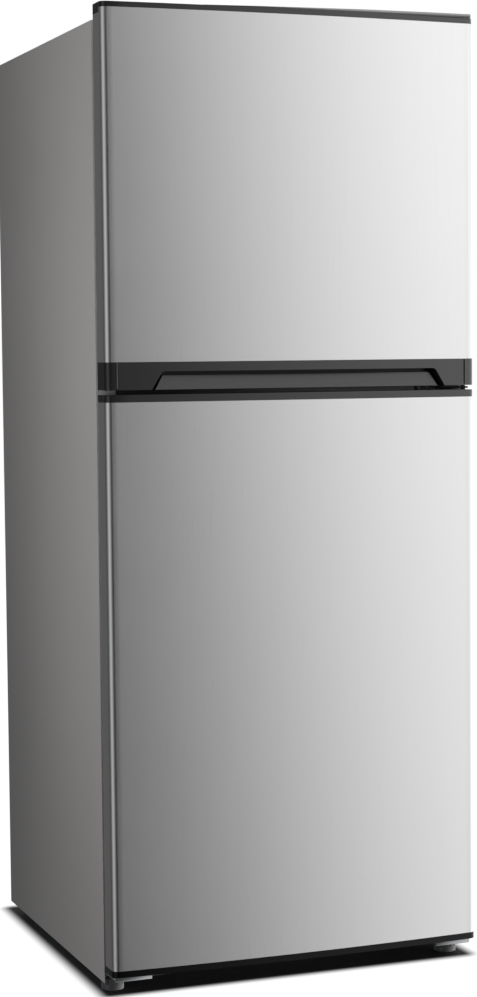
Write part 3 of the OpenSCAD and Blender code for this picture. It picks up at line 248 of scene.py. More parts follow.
def moulded(name, colour, roughness=0.3, texture=700.0, depth=0.00005):
    """Injection-moulded plastic with a fine skin texture and slight sink marks."""
    f = Finish(name)
    skin = f.noise(texture, 2.0, 0.5)
    sink = f.noise(14.0, 2.0, 0.4)
    return f.surface(
        base_color=f.blend(sink, shade(colour, 0.94), shade(colour, 1.05)),
        roughness=skin * 0.08 + sink * 0.08 + (roughness - 0.08),
        normal=f.bump(skin * 0.8 + sink * 0.2, depth),
    )


LOW_TRIM, HIGH_TRIM = 0.1, 0.3          # heights between which the trims turn from satin to gloss, and from a painted shade (base darkened to a fifth) to their own colour
FACE_DEPTH, POCKET_DEPTH = -0.292, -0.288   # depths between which they turn back to satin and to the same painted shade, dark as if shadowed in the pocket and grooves


def gloss_trim(name, colour, roughness=0.26):
    """Black trim that is polished in front and left satin on its ends. Low down and in its recesses it is
    satin and carries a painted shade, its colour darkened to a fifth.
    """
    f = Finish(name)
    skin = f.noise(900.0, 2.0, 0.5)
    clouds = f.noise(9.0, 3.0, 0.5)
    front = f.step(abs(f.normal_axis("Y")), 0.6, 0.9)
    raised = f.step(f.axis("Z"), LOW_TRIM, HIGH_TRIM)
    # Painted shade: 1 on the raised front, 0 low down and in the recesses, where the base colour is darkened
    # to a fifth
    unshaded = raised * (1.0 - f.step(f.axis("Y"), FACE_DEPTH, POCKET_DEPTH))
    tone = f.blend(clouds, shade(colour, 0.85), shade(colour, 1.15))
    return f.surface(
        # painted shade: the base colour drops to a fifth where the mask is 0
        base_color=f.blend(unshaded, shade(colour, 0.2), tone),
        roughness=skin * 0.05 + clouds * 0.03 + roughness,
        coat_weight=front * unshaded,
        coat_roughness=0.24,
        specular_ior_level=0.2,
    )


def plated(name, colour, roughness=0.3, spangle=160.0):
    """Zinc-coated steel, with a crystal spangle and dull patches."""
    f = Finish(name)
    crystal = f.cells(spangle)
    dull = f.noise(30.0, 4.0, 0.6)
    tone = crystal * 0.6 + dull * 0.4
    return f.surface(
        base_color=f.blend(tone, shade(colour, 0.8), shade(colour, 1.1)),
        roughness=dull * 0.2 + crystal * 0.08 + (roughness - 0.12),
        normal=f.bump(crystal * 0.5 + dull, 0.00003),
        metallic=0.95,
    )


def bare_metal(name, colour, tarnish, roughness=0.28):
    """Drawn tube or sheet that has tarnished in patches."""
    f = Finish(name)
    patches = f.noise(38.0, 5.0, 0.6)
    draw = f.noise(500.0, 2.0, 0.5)
    return f.surface(
        base_color=f.blend(f.step(patches, 0.42, 0.72), colour, tarnish),
        roughness=patches * 0.25 + (roughness - 0.08),
        normal=f.bump(draw, 0.00003),
        metallic=1.0,
    )


def soft_rubber(name, colour):
    """Soft PVC or rubber with a dusty bloom."""
    f = Finish(name)
    bloom = f.noise(60.0, 4.0, 0.6)
    skin = f.noise(1400.0, 2.0, 0.5)
    return f.surface(
        base_color=f.blend(bloom, shade(colour, 0.85), shade(colour, 1.2)),
        roughness=bloom * 0.15 + 0.55,
        normal=f.bump(skin, 0.00004),
    )


def see_through(name, colour, face_alpha, edge_alpha, roughness, haze=0.0):
    """Clear sheet that is denser seen through its edges."""
    f = Finish(name)
    edge = 1.0 - f.step(abs(f.normal_axis("Z")), 0.5, 0.9)
    smears = f.noise(25.0, 3.0, 0.5)
    return f.surface(
        base_color=f.blend(edge, colour, shade(colour, 0.72)),
        roughness=smears * 0.08 + roughness,
        alpha=edge * (edge_alpha - face_alpha) + smears * haze + face_alpha,
    )


def rigid_foam(name, colour):
    """Blown insulation with open cells."""
    f = Finish(name)
    cell = f.cells(420.0)
    return f.surface(
        base_color=f.blend(cell, shade(colour, 0.85), shade(colour, 1.08)),
        roughness=cell * 0.1 + 0.8,
        normal=f.bump(cell, 0.0003),
    )


def make_finishes(look):
    """Every material, by the record's slot names."""
    black = tuple(look.trim_colour)
    white = tuple(look.liner_colour)
    return {
        "door_steel": brushed_steel("brushed stainless steel", tuple(look.steel_colour)),
        "cabinet_paint": satin_paint("grey cabinet paint", tuple(look.cabinet_colour)),
        "galvanised": plated("galvanised sheet", (0.56, 0.57, 0.59), 0.42),
        "foam": rigid_foam("insulation foam", (0.82, 0.72, 0.46)),
        "liner_white": moulded("white liner", white, 0.32, 500.0, 0.00006),
        "zinc": plated("bright zinc", (0.34, 0.345, 0.355), 0.34, 700.0),
        "black_gloss": gloss_trim("gloss black trim", black),
        "roller_plastic": moulded("grey roller plastic", (0.62, 0.63, 0.64), 0.45),
        "dark_plastic": moulded("dark plastic", (0.05, 0.052, 0.056), 0.45, 900.0, 0.00012),
        "black_enamel": satin_paint("black enamel", (0.018, 0.018, 0.02), 0.32),
        "rubber_black": soft_rubber("black rubber", (0.022, 0.022, 0.022)),
        "copper": bare_metal("copper tube", (0.78, 0.42, 0.26), (0.34, 0.17, 0.1)),
        "aluminium": bare_metal("aluminium", (0.82, 0.83, 0.84), (0.6, 0.61, 0.62), 0.35),
        "white_plastic": moulded("white plastic", shade(white, 0.97), 0.38),
        "shelf_glass": see_through("shelf glass", (0.72, 0.9, 0.84), 0.22, 0.8, 0.02),
        "lamp_lens": moulded("frosted lens", (0.95, 0.93, 0.86), 0.3, 260.0, 0.0003),
        "clear_plastic": see_through("clear plastic", (0.86, 0.93, 0.95), 0.3, 0.32, 0.1, 0.1),
        "gasket": soft_rubber("gasket grey", (0.34, 0.345, 0.35)),
    }


FINISH = {}      # filled by the first step


# ------------------------------------------------------------------ shapes


WELD_DISTANCE = 0.00002
SHARP_ANGLE = 0.6      # radians between faces that stay unsmoothed on unrounded pieces


def edge_finish(piece, width):
    """Joins the piece's faces, rounds its sharp edges and shades its curves smoothly."""
    piece.data.polygons.foreach_set("use_smooth", [True] * len(piece.data.polygons))
    weld = piece.modifiers.new("joined", "WELD")
    weld.merge_threshold = WELD_DISTANCE
    if width > 0.0:
        bevel = piece.modifiers.new("rounded edges", "BEVEL")
        bevel.width = width
        bevel.segments = 2
        bevel.limit_method = "ANGLE"
        bevel.angle_limit = math.radians(40.0)
        bevel.harden_normals = True
        bevel.miter_outer = "MITER_ARC"
    else:
        sharp = piece.modifiers.new("sharp edges", "EDGE_SPLIT")
        sharp.split_angle = SHARP_ANGLE


def finish_piece(name, mesh, body, slot, replaced=(), width=0.0):
    """Turns a bmesh into a piece that rides on a body."""
    data = bpy.data.meshes.new(name)
    mesh.to_mesh(data)
    mesh.free()
    piece = bpy.data.objects.new(name, data)
    bpy.context.scene.collection.objects.link(piece)
    data.materials.append(FINISH[slot])
    edge_finish(piece, width)
    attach(piece, body)
    if replaced:
        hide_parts(*replaced)
    return piece


def loop_of(mesh, points):
    """A closed loop of edges through the points."""
    verts = [mesh.verts.new(point) for point in points]
    return [mesh.edges.new((verts[i], verts[(i + 1) % len(verts)])) for i in range(len(verts))]


def carry(mesh, edges, move):
    """Extrudes a loop along a vector and gives back the new loop."""
    made = bmesh.ops.extrude_edge_only(mesh, edges=edges)["geom"]
    verts = [item for item in made if isinstance(item, bmesh.types.BMVert)]
    bmesh.ops.translate(mesh, vec=move, verts=verts)
    return [item for item in made if isinstance(item, bmesh.types.BMEdge)
            and all(v in verts for v in item.verts)]


def swing(mesh, edges, centre, axis, angle, steps):
    """Spins a loop round a corner and gives back the new loop."""
    verts = list({v for edge in edges for v in edge.verts})
    made = bmesh.ops.spin(mesh, geom=verts + edges, cent=centre, axis=axis, angle=angle, steps=steps)
    return [item for item in made["geom_last"] if isinstance(item, bmesh.types.BMEdge)]


def frame_sweep(mesh, profile, half_width, low, high, corner, steps=6):
    """Sweeps a closed profile round an upright rectangle. Each point is (outward, y)."""
    edges = loop_of(mesh, [(-half_width + corner, y, low - out) for out, y in profile])
    run_x, run_z = 2.0 * (half_width - corner), high - low - 2.0 * corner
    x, z = half_width - corner, (low + corner, high - corner)
    turns = (((run_x, 0, 0), (x, 0, z[0])), ((0, 0, run_z), (x, 0, z[1])),
             ((-run_x, 0, 0), (-x, 0, z[1])), ((0, 0, -run_z), (-x, 0, z[0])))
    for move, centre in turns:
        edges = carry(mesh, edges, move)
        edges = swing(mesh, edges, centre, (0, -1, 0), math.pi / 2, steps)
    close_up(mesh)


def close_up(mesh):
    """Merges doubled vertices and points every face outwards."""
    bmesh.ops.remove_doubles(mesh, verts=mesh.verts, dist=0.00001)
    bmesh.ops.recalc_face_normals(mesh, faces=mesh.faces)


def block(mesh, low, high, corner=0.0, axis=2, steps=5):
    """A block whose edges along one axis may be rounded."""
    verts = bmesh.ops.create_cube(mesh, size=1.0)["verts"]
    size = Vector(high) - Vector(low)
    bmesh.ops.scale(mesh, vec=size, verts=verts)
    bmesh.ops.translate(mesh, vec=(Vector(high) + Vector(low)) / 2.0, verts=verts)
    if corner > 0.0:
        edges = {e for v in verts for e in v.link_edges
                 if abs((e.verts[0].co - e.verts[1].co)[axis]) > size[axis] * 0.9}
        made = bmesh.ops.bevel(mesh, geom=list(edges), offset=corner, offset_type="OFFSET",
                               affect="EDGES", segments=steps, profile=0.5, material=-1)
        verts = made["verts"]
    return verts


def border(mesh, low, high, width, corner):
    """A flat frame with rounded outer corners."""
    block(mesh, low, high, corner)
    mesh.normal_update()
    caps = [face for face in mesh.faces if abs(face.normal.z) > 0.9]
    bmesh.ops.inset_region(mesh, faces=caps, thickness=width, use_even_offset=True)
    edges = {edge for face in caps for edge in face.edges}
    bmesh.ops.delete(mesh, geom=caps, context="FACES_ONLY")
    bmesh.ops.bridge_loops(mesh, edges=list(edges))
    close_up(mesh)


def screw_head(mesh, place, out, radius):
    """A pan head with a cross recess, sized by its radius, that stands out along a direction."""
    before = set(mesh.verts)
    bmesh.ops.create_grid(mesh, x_segments=3, y_segments=3, size=radius * 0.42)
    grid = [face for face in mesh.faces if face.verts[0] not in before]
    rim = [edge for face in grid for edge in face.edges if len(edge.link_faces) == 1]
    cross = [face for face in grid
             if min(abs(face.calc_center_median()[axis]) for axis in (0, 1)) < radius * 0.1]
    circle = bmesh.ops.create_circle(mesh, segments=12, radius=radius * 0.84)["verts"]
    bmesh.ops.rotate(mesh, verts=circle, cent=(0, 0, 0),
                     matrix=Matrix.Rotation(math.radians(15.0), 3, "Z"))
    outer = list({edge for vert in circle for edge in vert.link_edges})
    bmesh.ops.bridge_loops(mesh, edges=list(set(rim)) + outer)
    for scale, drop in ((1.19, 0.16), (1.0, 0.3)):
        made = bmesh.ops.extrude_edge_only(mesh, edges=outer)["geom"]
        verts = [item for item in made if isinstance(item, bmesh.types.BMVert)]
        bmesh.ops.scale(mesh, vec=(scale, scale, 1.0), verts=verts)
        bmesh.ops.translate(mesh, vec=(0.0, 0.0, -drop * radius), verts=verts)
        outer = [item for item in made if isinstance(item, bmesh.types.BMEdge)
                 and all(vert in verts for vert in item.verts)]
    sunk = bmesh.ops.extrude_face_region(mesh, geom=cross)["geom"]
    sunk = [item for item in sunk if isinstance(item, bmesh.types.BMVert)]
    bmesh.ops.translate(mesh, vec=(0.0, 0.0, -0.3 * radius), verts=sunk)
    made = [vert for vert in mesh.verts if vert not in before]
    turned = Vector(out).to_track_quat("Z", "Y").to_matrix().to_4x4()
    lift = Vector(out) * radius * 0.46
    bmesh.ops.transform(mesh, matrix=Matrix.Translation(Vector(place) + lift) @ turned, verts=made)


def digit(mesh, text, place, height, depth):
    """A raised upright figure that faces forward."""
    curve = bpy.data.curves.new("figure", "FONT")
    curve.body, curve.size, curve.extrude = text, height, depth
    curve.align_x, curve.align_y = "CENTER", "CENTER"
    sign = bpy.data.objects.new("figure", curve)
    bpy.context.scene.collection.objects.link(sign)
    bpy.context.view_layer.update()
    made = bpy.data.meshes.new_from_object(sign.evaluated_get(bpy.context.evaluated_depsgraph_get()))
    made.transform(Matrix.Translation(place) @ Matrix.Rotation(math.pi / 2, 4, "X"))
    mesh.from_mesh(made)
    bpy.data.objects.remove(sign)
    bpy.data.curves.remove(curve)
    bpy.data.meshes.remove(made)


def levels(node, gap):
    """The lowest and highest z of each tier of a node, where tiers are more than a gap apart."""
    heights = sorted(vert.co.z for vert in frame["nodes"][node].data.vertices)
    tiers = [[heights[0], heights[0]]]
    for height in heights:
        if height - tiers[-1][1] > gap:
            tiers.append([height, height])
        tiers[-1][1] = height
    return tiers


# ------------------------------------------------------------------ settings


class RefrigeratorLook(bpy.types.PropertyGroup):
    """Colours and small sizes that can be changed without touching the frame."""

    steel_colour: FloatVectorProperty(
        name="Steel", description="Tint of the brushed door skins", subtype="COLOR",
        default=(0.60, 0.60, 0.60), min=0.0, max=1.0)
    cabinet_colour: FloatVectorProperty(
        name="Cabinet", description="Paint of the side and top panels", subtype="COLOR",
        default=(0.25, 0.243, 0.24), min=0.0, max=1.0)
    trim_colour: FloatVectorProperty(
        name="Trim", description="Colour of the gloss trims and caps", subtype="COLOR",
        default=(0.007, 0.007, 0.008), min=0.0, max=1.0)
    liner_colour: FloatVectorProperty(
        name="Liner", description="Colour of the inside", subtype="COLOR",
        default=(0.82, 0.83, 0.83), min=0.0, max=1.0)
    edge_radius: FloatProperty(
        name="Edge radius", description="Rounding of moulded edges", subtype="DISTANCE", unit="LENGTH",
        default=0.0006, min=0.0, max=0.003)
    sheet_radius: FloatProperty(
        name="Sheet edge radius", description="Rounding of sheet-metal edges", subtype="DISTANCE",
        unit="LENGTH", default=0.0003, min=0.0, max=0.001)


class StageLook(bpy.types.PropertyGroup):
    """The floor and the lights round the refrigerator."""

    floor_radius: FloatProperty(
        name="Floor radius", description="Radius of the pale floor", subtype="DISTANCE", unit="LENGTH",
        default=4.5, min=1.0, max=30.0)
    key_power: FloatProperty(
        name="Key light", description="Power of the large soft light", unit="POWER",
        default=60.0, min=0.0, max=2000.0)
    fill_power: FloatProperty(
        name="Left light", description="Power of the soft light on the left side", unit="POWER",
        default=14.0, min=0.0, max=500.0)
    shadow_inset: FloatProperty(
        name="Shadow inset", description="How far the floor shadow starts behind the doors",
        subtype="DISTANCE", unit="LENGTH", default=0.047, min=0.0, max=0.1)
    shadow_reach: FloatProperty(
        name="Shadow reach", description="How far the floor shadow fades outwards", subtype="DISTANCE",
        unit="LENGTH", default=0.03, min=0.005, max=0.3)
    lens: FloatProperty(
        name="Lens", description="Focal length for a frame 36 mm high", default=79.63, min=20.0, max=200.0)


# ------------------------------------------------------------------ pieces


# Nodes whose edges are too fine, or too flat and glossy, to round
FINE_NODES = {"condenser_tube", "condenser_wires", "evaporator_tube", "refrigerant_lines", "evaporator_fins",
              "cabinet_foam", "freezer_door_foam", "fridge_door_foam",
              "freezer_door_top_cap", "freezer_door_handle_trim", "fridge_door_caps"}
# Nodes of sheet metal, which get a smaller edge radius
SHEET_NODES = {"side_panel_left", "side_panel_right", "top_panel", "back_panel", "base_pan", "mullion_trim",
               "freezer_door_skin", "fridge_door_skin", "compressor_shelf"}


class FRIDGE_OT_frame(bpy.types.Operator):
    """Gives every CAD part its finish and its edge rounding"""

    bl_idname = "fridge.frame"
    bl_label = "Finish the frame parts"

    def execute(self, context):
        look = context.scene.refrigerator_look
        FINISH.update(make_finishes(look))
        slots = {row["node"]: row["material_slot"] for row in frame["record"]["subparts"]}
        for node, piece in frame["nodes"].items():
            material = FINISH[slots[node]]
            if not piece.material_slots:
                piece.data.materials.append(material)
            for slot in piece.material_slots:
                slot.material = material
            width = look.edge_radius
            if node in SHEET_NODES:
                width = look.sheet_radius
            if node in FINE_NODES:
                width = 0.0
            edge_finish(piece, width)
        return {"FINISHED"}


# Section of the gasket, in mm: outwards from its centre line, and backwards from the door
GASKET_PROFILE = (
    (-5.0, 0.0), (5.0, 0.0), (5.4, 0.8), (5.0, 1.6), (2.6, 1.8), (2.4, 2.5), (6.4, 2.7), (7.4, 3.4),
    (6.6, 4.1), (7.4, 4.8), (7.0, 6.6), (6.0, 7.4), (4.4, 7.7), (-3.6, 7.7), (-5.4, 7.2), (-6.0, 6.0),
    (-5.6, 4.6), (-6.6, 3.9), (-5.6, 3.2), (-2.4, 2.6), (-2.6, 1.8), (-5.0, 1.6), (-5.4, 0.8))


GASKET_REACH = 8.0 * MM       # from its centre line to its outer lip
GASKET_CORNER = 9.0 * MM


class FRIDGE_OT_gaskets(bpy.types.Operator):
    """Makes the bellows gasket of each door"""

    bl_idname = "fridge.gaskets"
    bl_label = "Door gaskets"

    def execute(self, context):
        for body in ("freezer_door", "fridge_door"):
            node = body + "_gasket"
            low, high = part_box(node)
            profile = [(out * MM, low[1] + y * MM) for out, y in GASKET_PROFILE]
            mesh = bmesh.new()
            frame_sweep(mesh, profile, high[0] - GASKET_REACH, low[2] + GASKET_REACH,
                        high[2] - GASKET_REACH, GASKET_CORNER)
            finish_piece(body + "_bellows", mesh, body, "gasket", (node,))
        return {"FINISHED"}


CORNER = 10.0 * MM      # radius of the skin's two upright bends
CROWN = 9.0 * MM        # how far the middle of the skin stands before its bends
SHEET = 0.8 * MM        # thickness of the steel
CAP_SKIRT = 7.0 * MM    # height of the cap's tongue behind the skin


def door_outline(mesh, low, high, z):
    """The plan of a door skin: two straight sides, two round corners and a shallow crown."""
    half, side = high[0], low[1] + CROWN + CORNER
    chord = half - CORNER
    radius = (chord * chord + CROWN * CROWN) / (2 * CROWN)
    lean = math.asin(chord / radius)
    start, vert = mesh.verts.new((-half, high[1], z)), mesh.verts.new((-half, side, z))
    mesh.edges.new((start, vert))
    turns = (((-chord, side, z), math.pi / 2 - lean, 10), ((0.0, low[1] + radius, z), 2 * lean, 72),
             ((chord, side, z), math.pi / 2 - lean, 10))
    for centre, angle, steps in turns:
        made = bmesh.ops.spin(mesh, geom=[vert], cent=centre, axis=(0, 0, 1), angle=angle, steps=steps)
        vert = [item for item in made["geom_last"] if isinstance(item, bmesh.types.BMVert)][0]
    mesh.edges.new((vert, mesh.verts.new((half, high[1], z))))
    return list(mesh.edges)


class FRIDGE_OT_skins(bpy.types.Operator):
    """Bends the crowned steel skin of each door"""

    bl_idname = "fridge.skins"
    bl_label = "Door skins"

    def execute(self, context):
        for body, cut in (("freezer_door", True), ("fridge_door", False)):
            node = body + "_skin"
            low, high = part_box(node)
            mesh = bmesh.new()
            edges = door_outline(mesh, low, high, low[2])
            rise = high[2] - CAP_SKIRT - low[2]
            for step in (rise / 3, rise / 3, rise / 3, CAP_SKIRT):
                edges = carry(mesh, edges, (0.0, 0.0, step))
            mesh.normal_update()
            if max(mesh.faces, key=lambda face: -face.calc_center_median().y).normal.y > 0.0:
                bmesh.ops.reverse_faces(mesh, faces=mesh.faces)
            if cut:
                side = [face for face in mesh.faces if abs(face.normal.x) > 0.999
                        and face.calc_center_median().z > high[2] - CAP_SKIRT]
                bmesh.ops.delete(mesh, geom=side, context="FACES")
            piece = finish_piece(body + "_steel", mesh, body, "door_steel", (node,))
            wall = piece.modifiers.new("sheet", "SOLIDIFY")
            wall.thickness = SHEET
            wall.offset = -1.0
            piece.modifiers.move(len(piece.modifiers) - 1, 1)
        return {"FINISHED"}


class FRIDGE_OT_shelves(bpy.types.Operator):
    """Makes the glass and the white borders of the freezer shelf and the crisper cover"""

    bl_idname = "fridge.shelves"
    bl_label = "Bordered shelves"

    def execute(self, context):
        for node in ("freezer_shelf", "crisper_cover"):
            low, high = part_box(node)
            inset = 4.0 * MM
            mesh = bmesh.new()
            block(mesh, (low[0] + inset, low[1] + inset, low[2] + 0.6 * MM),
                  (high[0] - inset, high[1] - inset, low[2] + 4.0 * MM), 6.0 * MM)
            finish_piece(node + "_pane", mesh, "cabinet", "shelf_glass", (node,), 0.5 * MM)
            mesh = bmesh.new()
            border(mesh, low, (high[0], high[1], low[2] + 5.2 * MM), 13.0 * MM, 5.0 * MM)
            block(mesh, low, (high[0], low[1] + 9.0 * MM, high[2]), 2.5 * MM, 0, 4)
            finish_piece(node + "_border", mesh, "cabinet", "white_plastic", (), 0.8 * MM)
        return {"FINISHED"}


TIER_GAP = 105.0 * MM


class FRIDGE_OT_bins(bpy.types.Operator):
    """Puts a white rail on the front edge of each door bin"""

    bl_idname = "fridge.bins"
    bl_label = "Door bin rails"

    def execute(self, context):
        for body in ("freezer_door", "fridge_door"):
            node = body + "_bins"
            low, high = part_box(node)
            mesh = bmesh.new()
            for _, top in levels(node, TIER_GAP):
                block(mesh, (low[0] + 14.0 * MM, high[1] - 3.6 * MM, top - 7.0 * MM),
                      (high[0] - 14.0 * MM, high[1] + 1.4 * MM, top + 2.2 * MM), 2.2 * MM, 0, 4)
            finish_piece(body + "_bin_rails", mesh, body, "white_plastic", (), 0.6 * MM)
        return {"FINISHED"}


DIAL_STEP = 5.0 * MM        # from the grip's front back to the dial's face
FIGURE_RADIUS = 9.3 * MM
FIGURE_ANGLES = (228, 196, 164, 132, 48, 16, -16, -48)


class FRIDGE_OT_dial(bpy.types.Operator):
    """Puts figures, a pointer and a scale on the temperature control"""

    bl_idname = "fridge.dial"
    bl_label = "Temperature dial"

    def execute(self, context):
        low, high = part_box("thermostat_knob")
        centre = ((low[0] + high[0]) / 2, (low[2] + high[2]) / 2)
        face, bar = low[1] + DIAL_STEP, low[1]
        mesh = bmesh.new()
        for index, angle in enumerate(FIGURE_ANGLES):
            x = centre[0] + math.cos(math.radians(angle)) * FIGURE_RADIUS
            z = centre[1] + math.sin(math.radians(angle)) * FIGURE_RADIUS
            digit(mesh, str(index), (x, face, z), 4.0 * MM, 0.12 * MM)
        block(mesh, (centre[0] - 0.6 * MM, bar - 0.15 * MM, centre[1] + 3.0 * MM),
              (centre[0] + 0.6 * MM, bar + 0.3 * MM, centre[1] + 11.0 * MM))
        finish_piece("dial_figures", mesh, "thermostat_knob", "dark_plastic")
        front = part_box("control_housing")[0][1]
        mesh = bmesh.new()
        for angle in range(-60, 241, 20):
            if 60 < angle < 120:
                continue
            verts = block(mesh, (centre[0] + 16.6 * MM, front - 0.15 * MM, centre[1] - 0.3 * MM),
                          (centre[0] + 19.0 * MM, front + 0.3 * MM, centre[1] + 0.3 * MM))
            bmesh.ops.rotate(mesh, verts=verts, cent=(centre[0], front, centre[1]),
                             matrix=Matrix.Rotation(math.radians(-angle), 3, "Y"))
        finish_piece("dial_scale", mesh, "cabinet", "dark_plastic")
        return {"FINISHED"}


PIVOT_X = 288.0 * MM       # the hinge line
HINGE_SCREW = 4.6 * MM     # head radius
HINGE_PLATE = 3.05 * MM    # height of a head's seat over the panel
PANEL_SCREWS = 7           # on each side of the back panel


class FRIDGE_OT_screws(bpy.types.Operator):
    """Makes the screws of the hinges, the back panel and the evaporator cover"""

    bl_idname = "fridge.screws"
    bl_label = "Screws"

    def execute(self, context):
        cabinet_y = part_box("side_panel_left")[0][1]
        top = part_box("top_panel")[1][2] + HINGE_PLATE
        split = sum(corner[2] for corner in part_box("middle_hinge")) / 2
        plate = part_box("base_pan")[0][2] - HINGE_PLATE
        mesh = bmesh.new()
        for x in (-64, -30, -2):
            screw_head(mesh, (PIVOT_X + x * MM, cabinet_y + 45.0 * MM, top), (0, 0, 1), HINGE_SCREW)
        for x in (-70, -30):
            for side in (-1, 1):
                place = (side * (PIVOT_X + x * MM), cabinet_y + 65.0 * MM, plate)
                screw_head(mesh, place, (0, 0, -1), HINGE_SCREW)
        finish_piece("hinge_screw_heads", mesh, "cabinet", "zinc", ("hinge_screws",))
        mesh = bmesh.new()
        for x in (-54, -40):
            place = (PIVOT_X + x * MM, cabinet_y - HINGE_PLATE, split)
            screw_head(mesh, place, (0, -1, 0), HINGE_SCREW)
        finish_piece("middle_hinge_screw_heads", mesh, "cabinet", "black_enamel")
        low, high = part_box("back_panel")
        mesh = bmesh.new()
        for side in (-1, 1):
            for step in range(PANEL_SCREWS):
                z = low[2] + 20.0 * MM + step * (high[2] - low[2] - 40.0 * MM) / (PANEL_SCREWS - 1)
                screw_head(mesh, (side * (high[0] - 9.0 * MM), high[1], z), (0, 1, 0), 3.8 * MM)
        finish_piece("back_panel_screws", mesh, "cabinet", "zinc")
        low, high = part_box("evaporator_cover")
        mesh = bmesh.new()
        for x in (low[0] + 20.0 * MM, high[0] - 20.0 * MM):
            for z in (low[2] + 22.0 * MM, high[2] - 22.0 * MM):
                screw_head(mesh, (x, low[1], z), (0, -1, 0), 4.2 * MM)
        finish_piece("evaporator_cover_screws", mesh, "cabinet", "white_plastic")
        return {"FINISHED"}


class FRIDGE_OT_base(bpy.types.Operator):
    """Makes the hemmed rail under the front of the base pan"""

    bl_idname = "fridge.base"
    bl_label = "Base rail"

    def execute(self, context):
        front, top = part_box("side_panel_left")[0][1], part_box("base_pan")[0][2]
        half = 230.0 * MM
        mesh = bmesh.new()
        block(mesh, (-half, front - 2.4 * MM, top - 20.0 * MM), (half, front - 1.2 * MM, top - 1.0 * MM))
        block(mesh, (-half, front - 3.6 * MM, top - 20.6 * MM), (half, front - 1.0 * MM, top - 17.6 * MM),
              1.2 * MM, 0, 4)
        block(mesh, (-half, front - 2.4 * MM, top - 2.0 * MM), (half, front + 10.0 * MM, top - 0.8 * MM))
        finish_piece("base_rail", mesh, "cabinet", "cabinet_paint", (), 0.3 * MM)
        return {"FINISHED"}


# ------------------------------------------------------------------ stage


SHADOW_SIDE, SHADOW_BACK = 6.0 * MM, 20.0 * MM   # how far inside the cabinet the painted floor shadow stops
CAMERA_YAW, CAMERA_PITCH, CAMERA_ROLL = 0.36095, 0.065218, -0.0098411
CAMERA_X, CAMERA_AWAY, CAMERA_Z = -1.2588, 3.095, 0.9587   # away is forwards from the doors' side edges
SKIN_CROWN = 19.0 * MM                           # from the doors' front back to their side edges


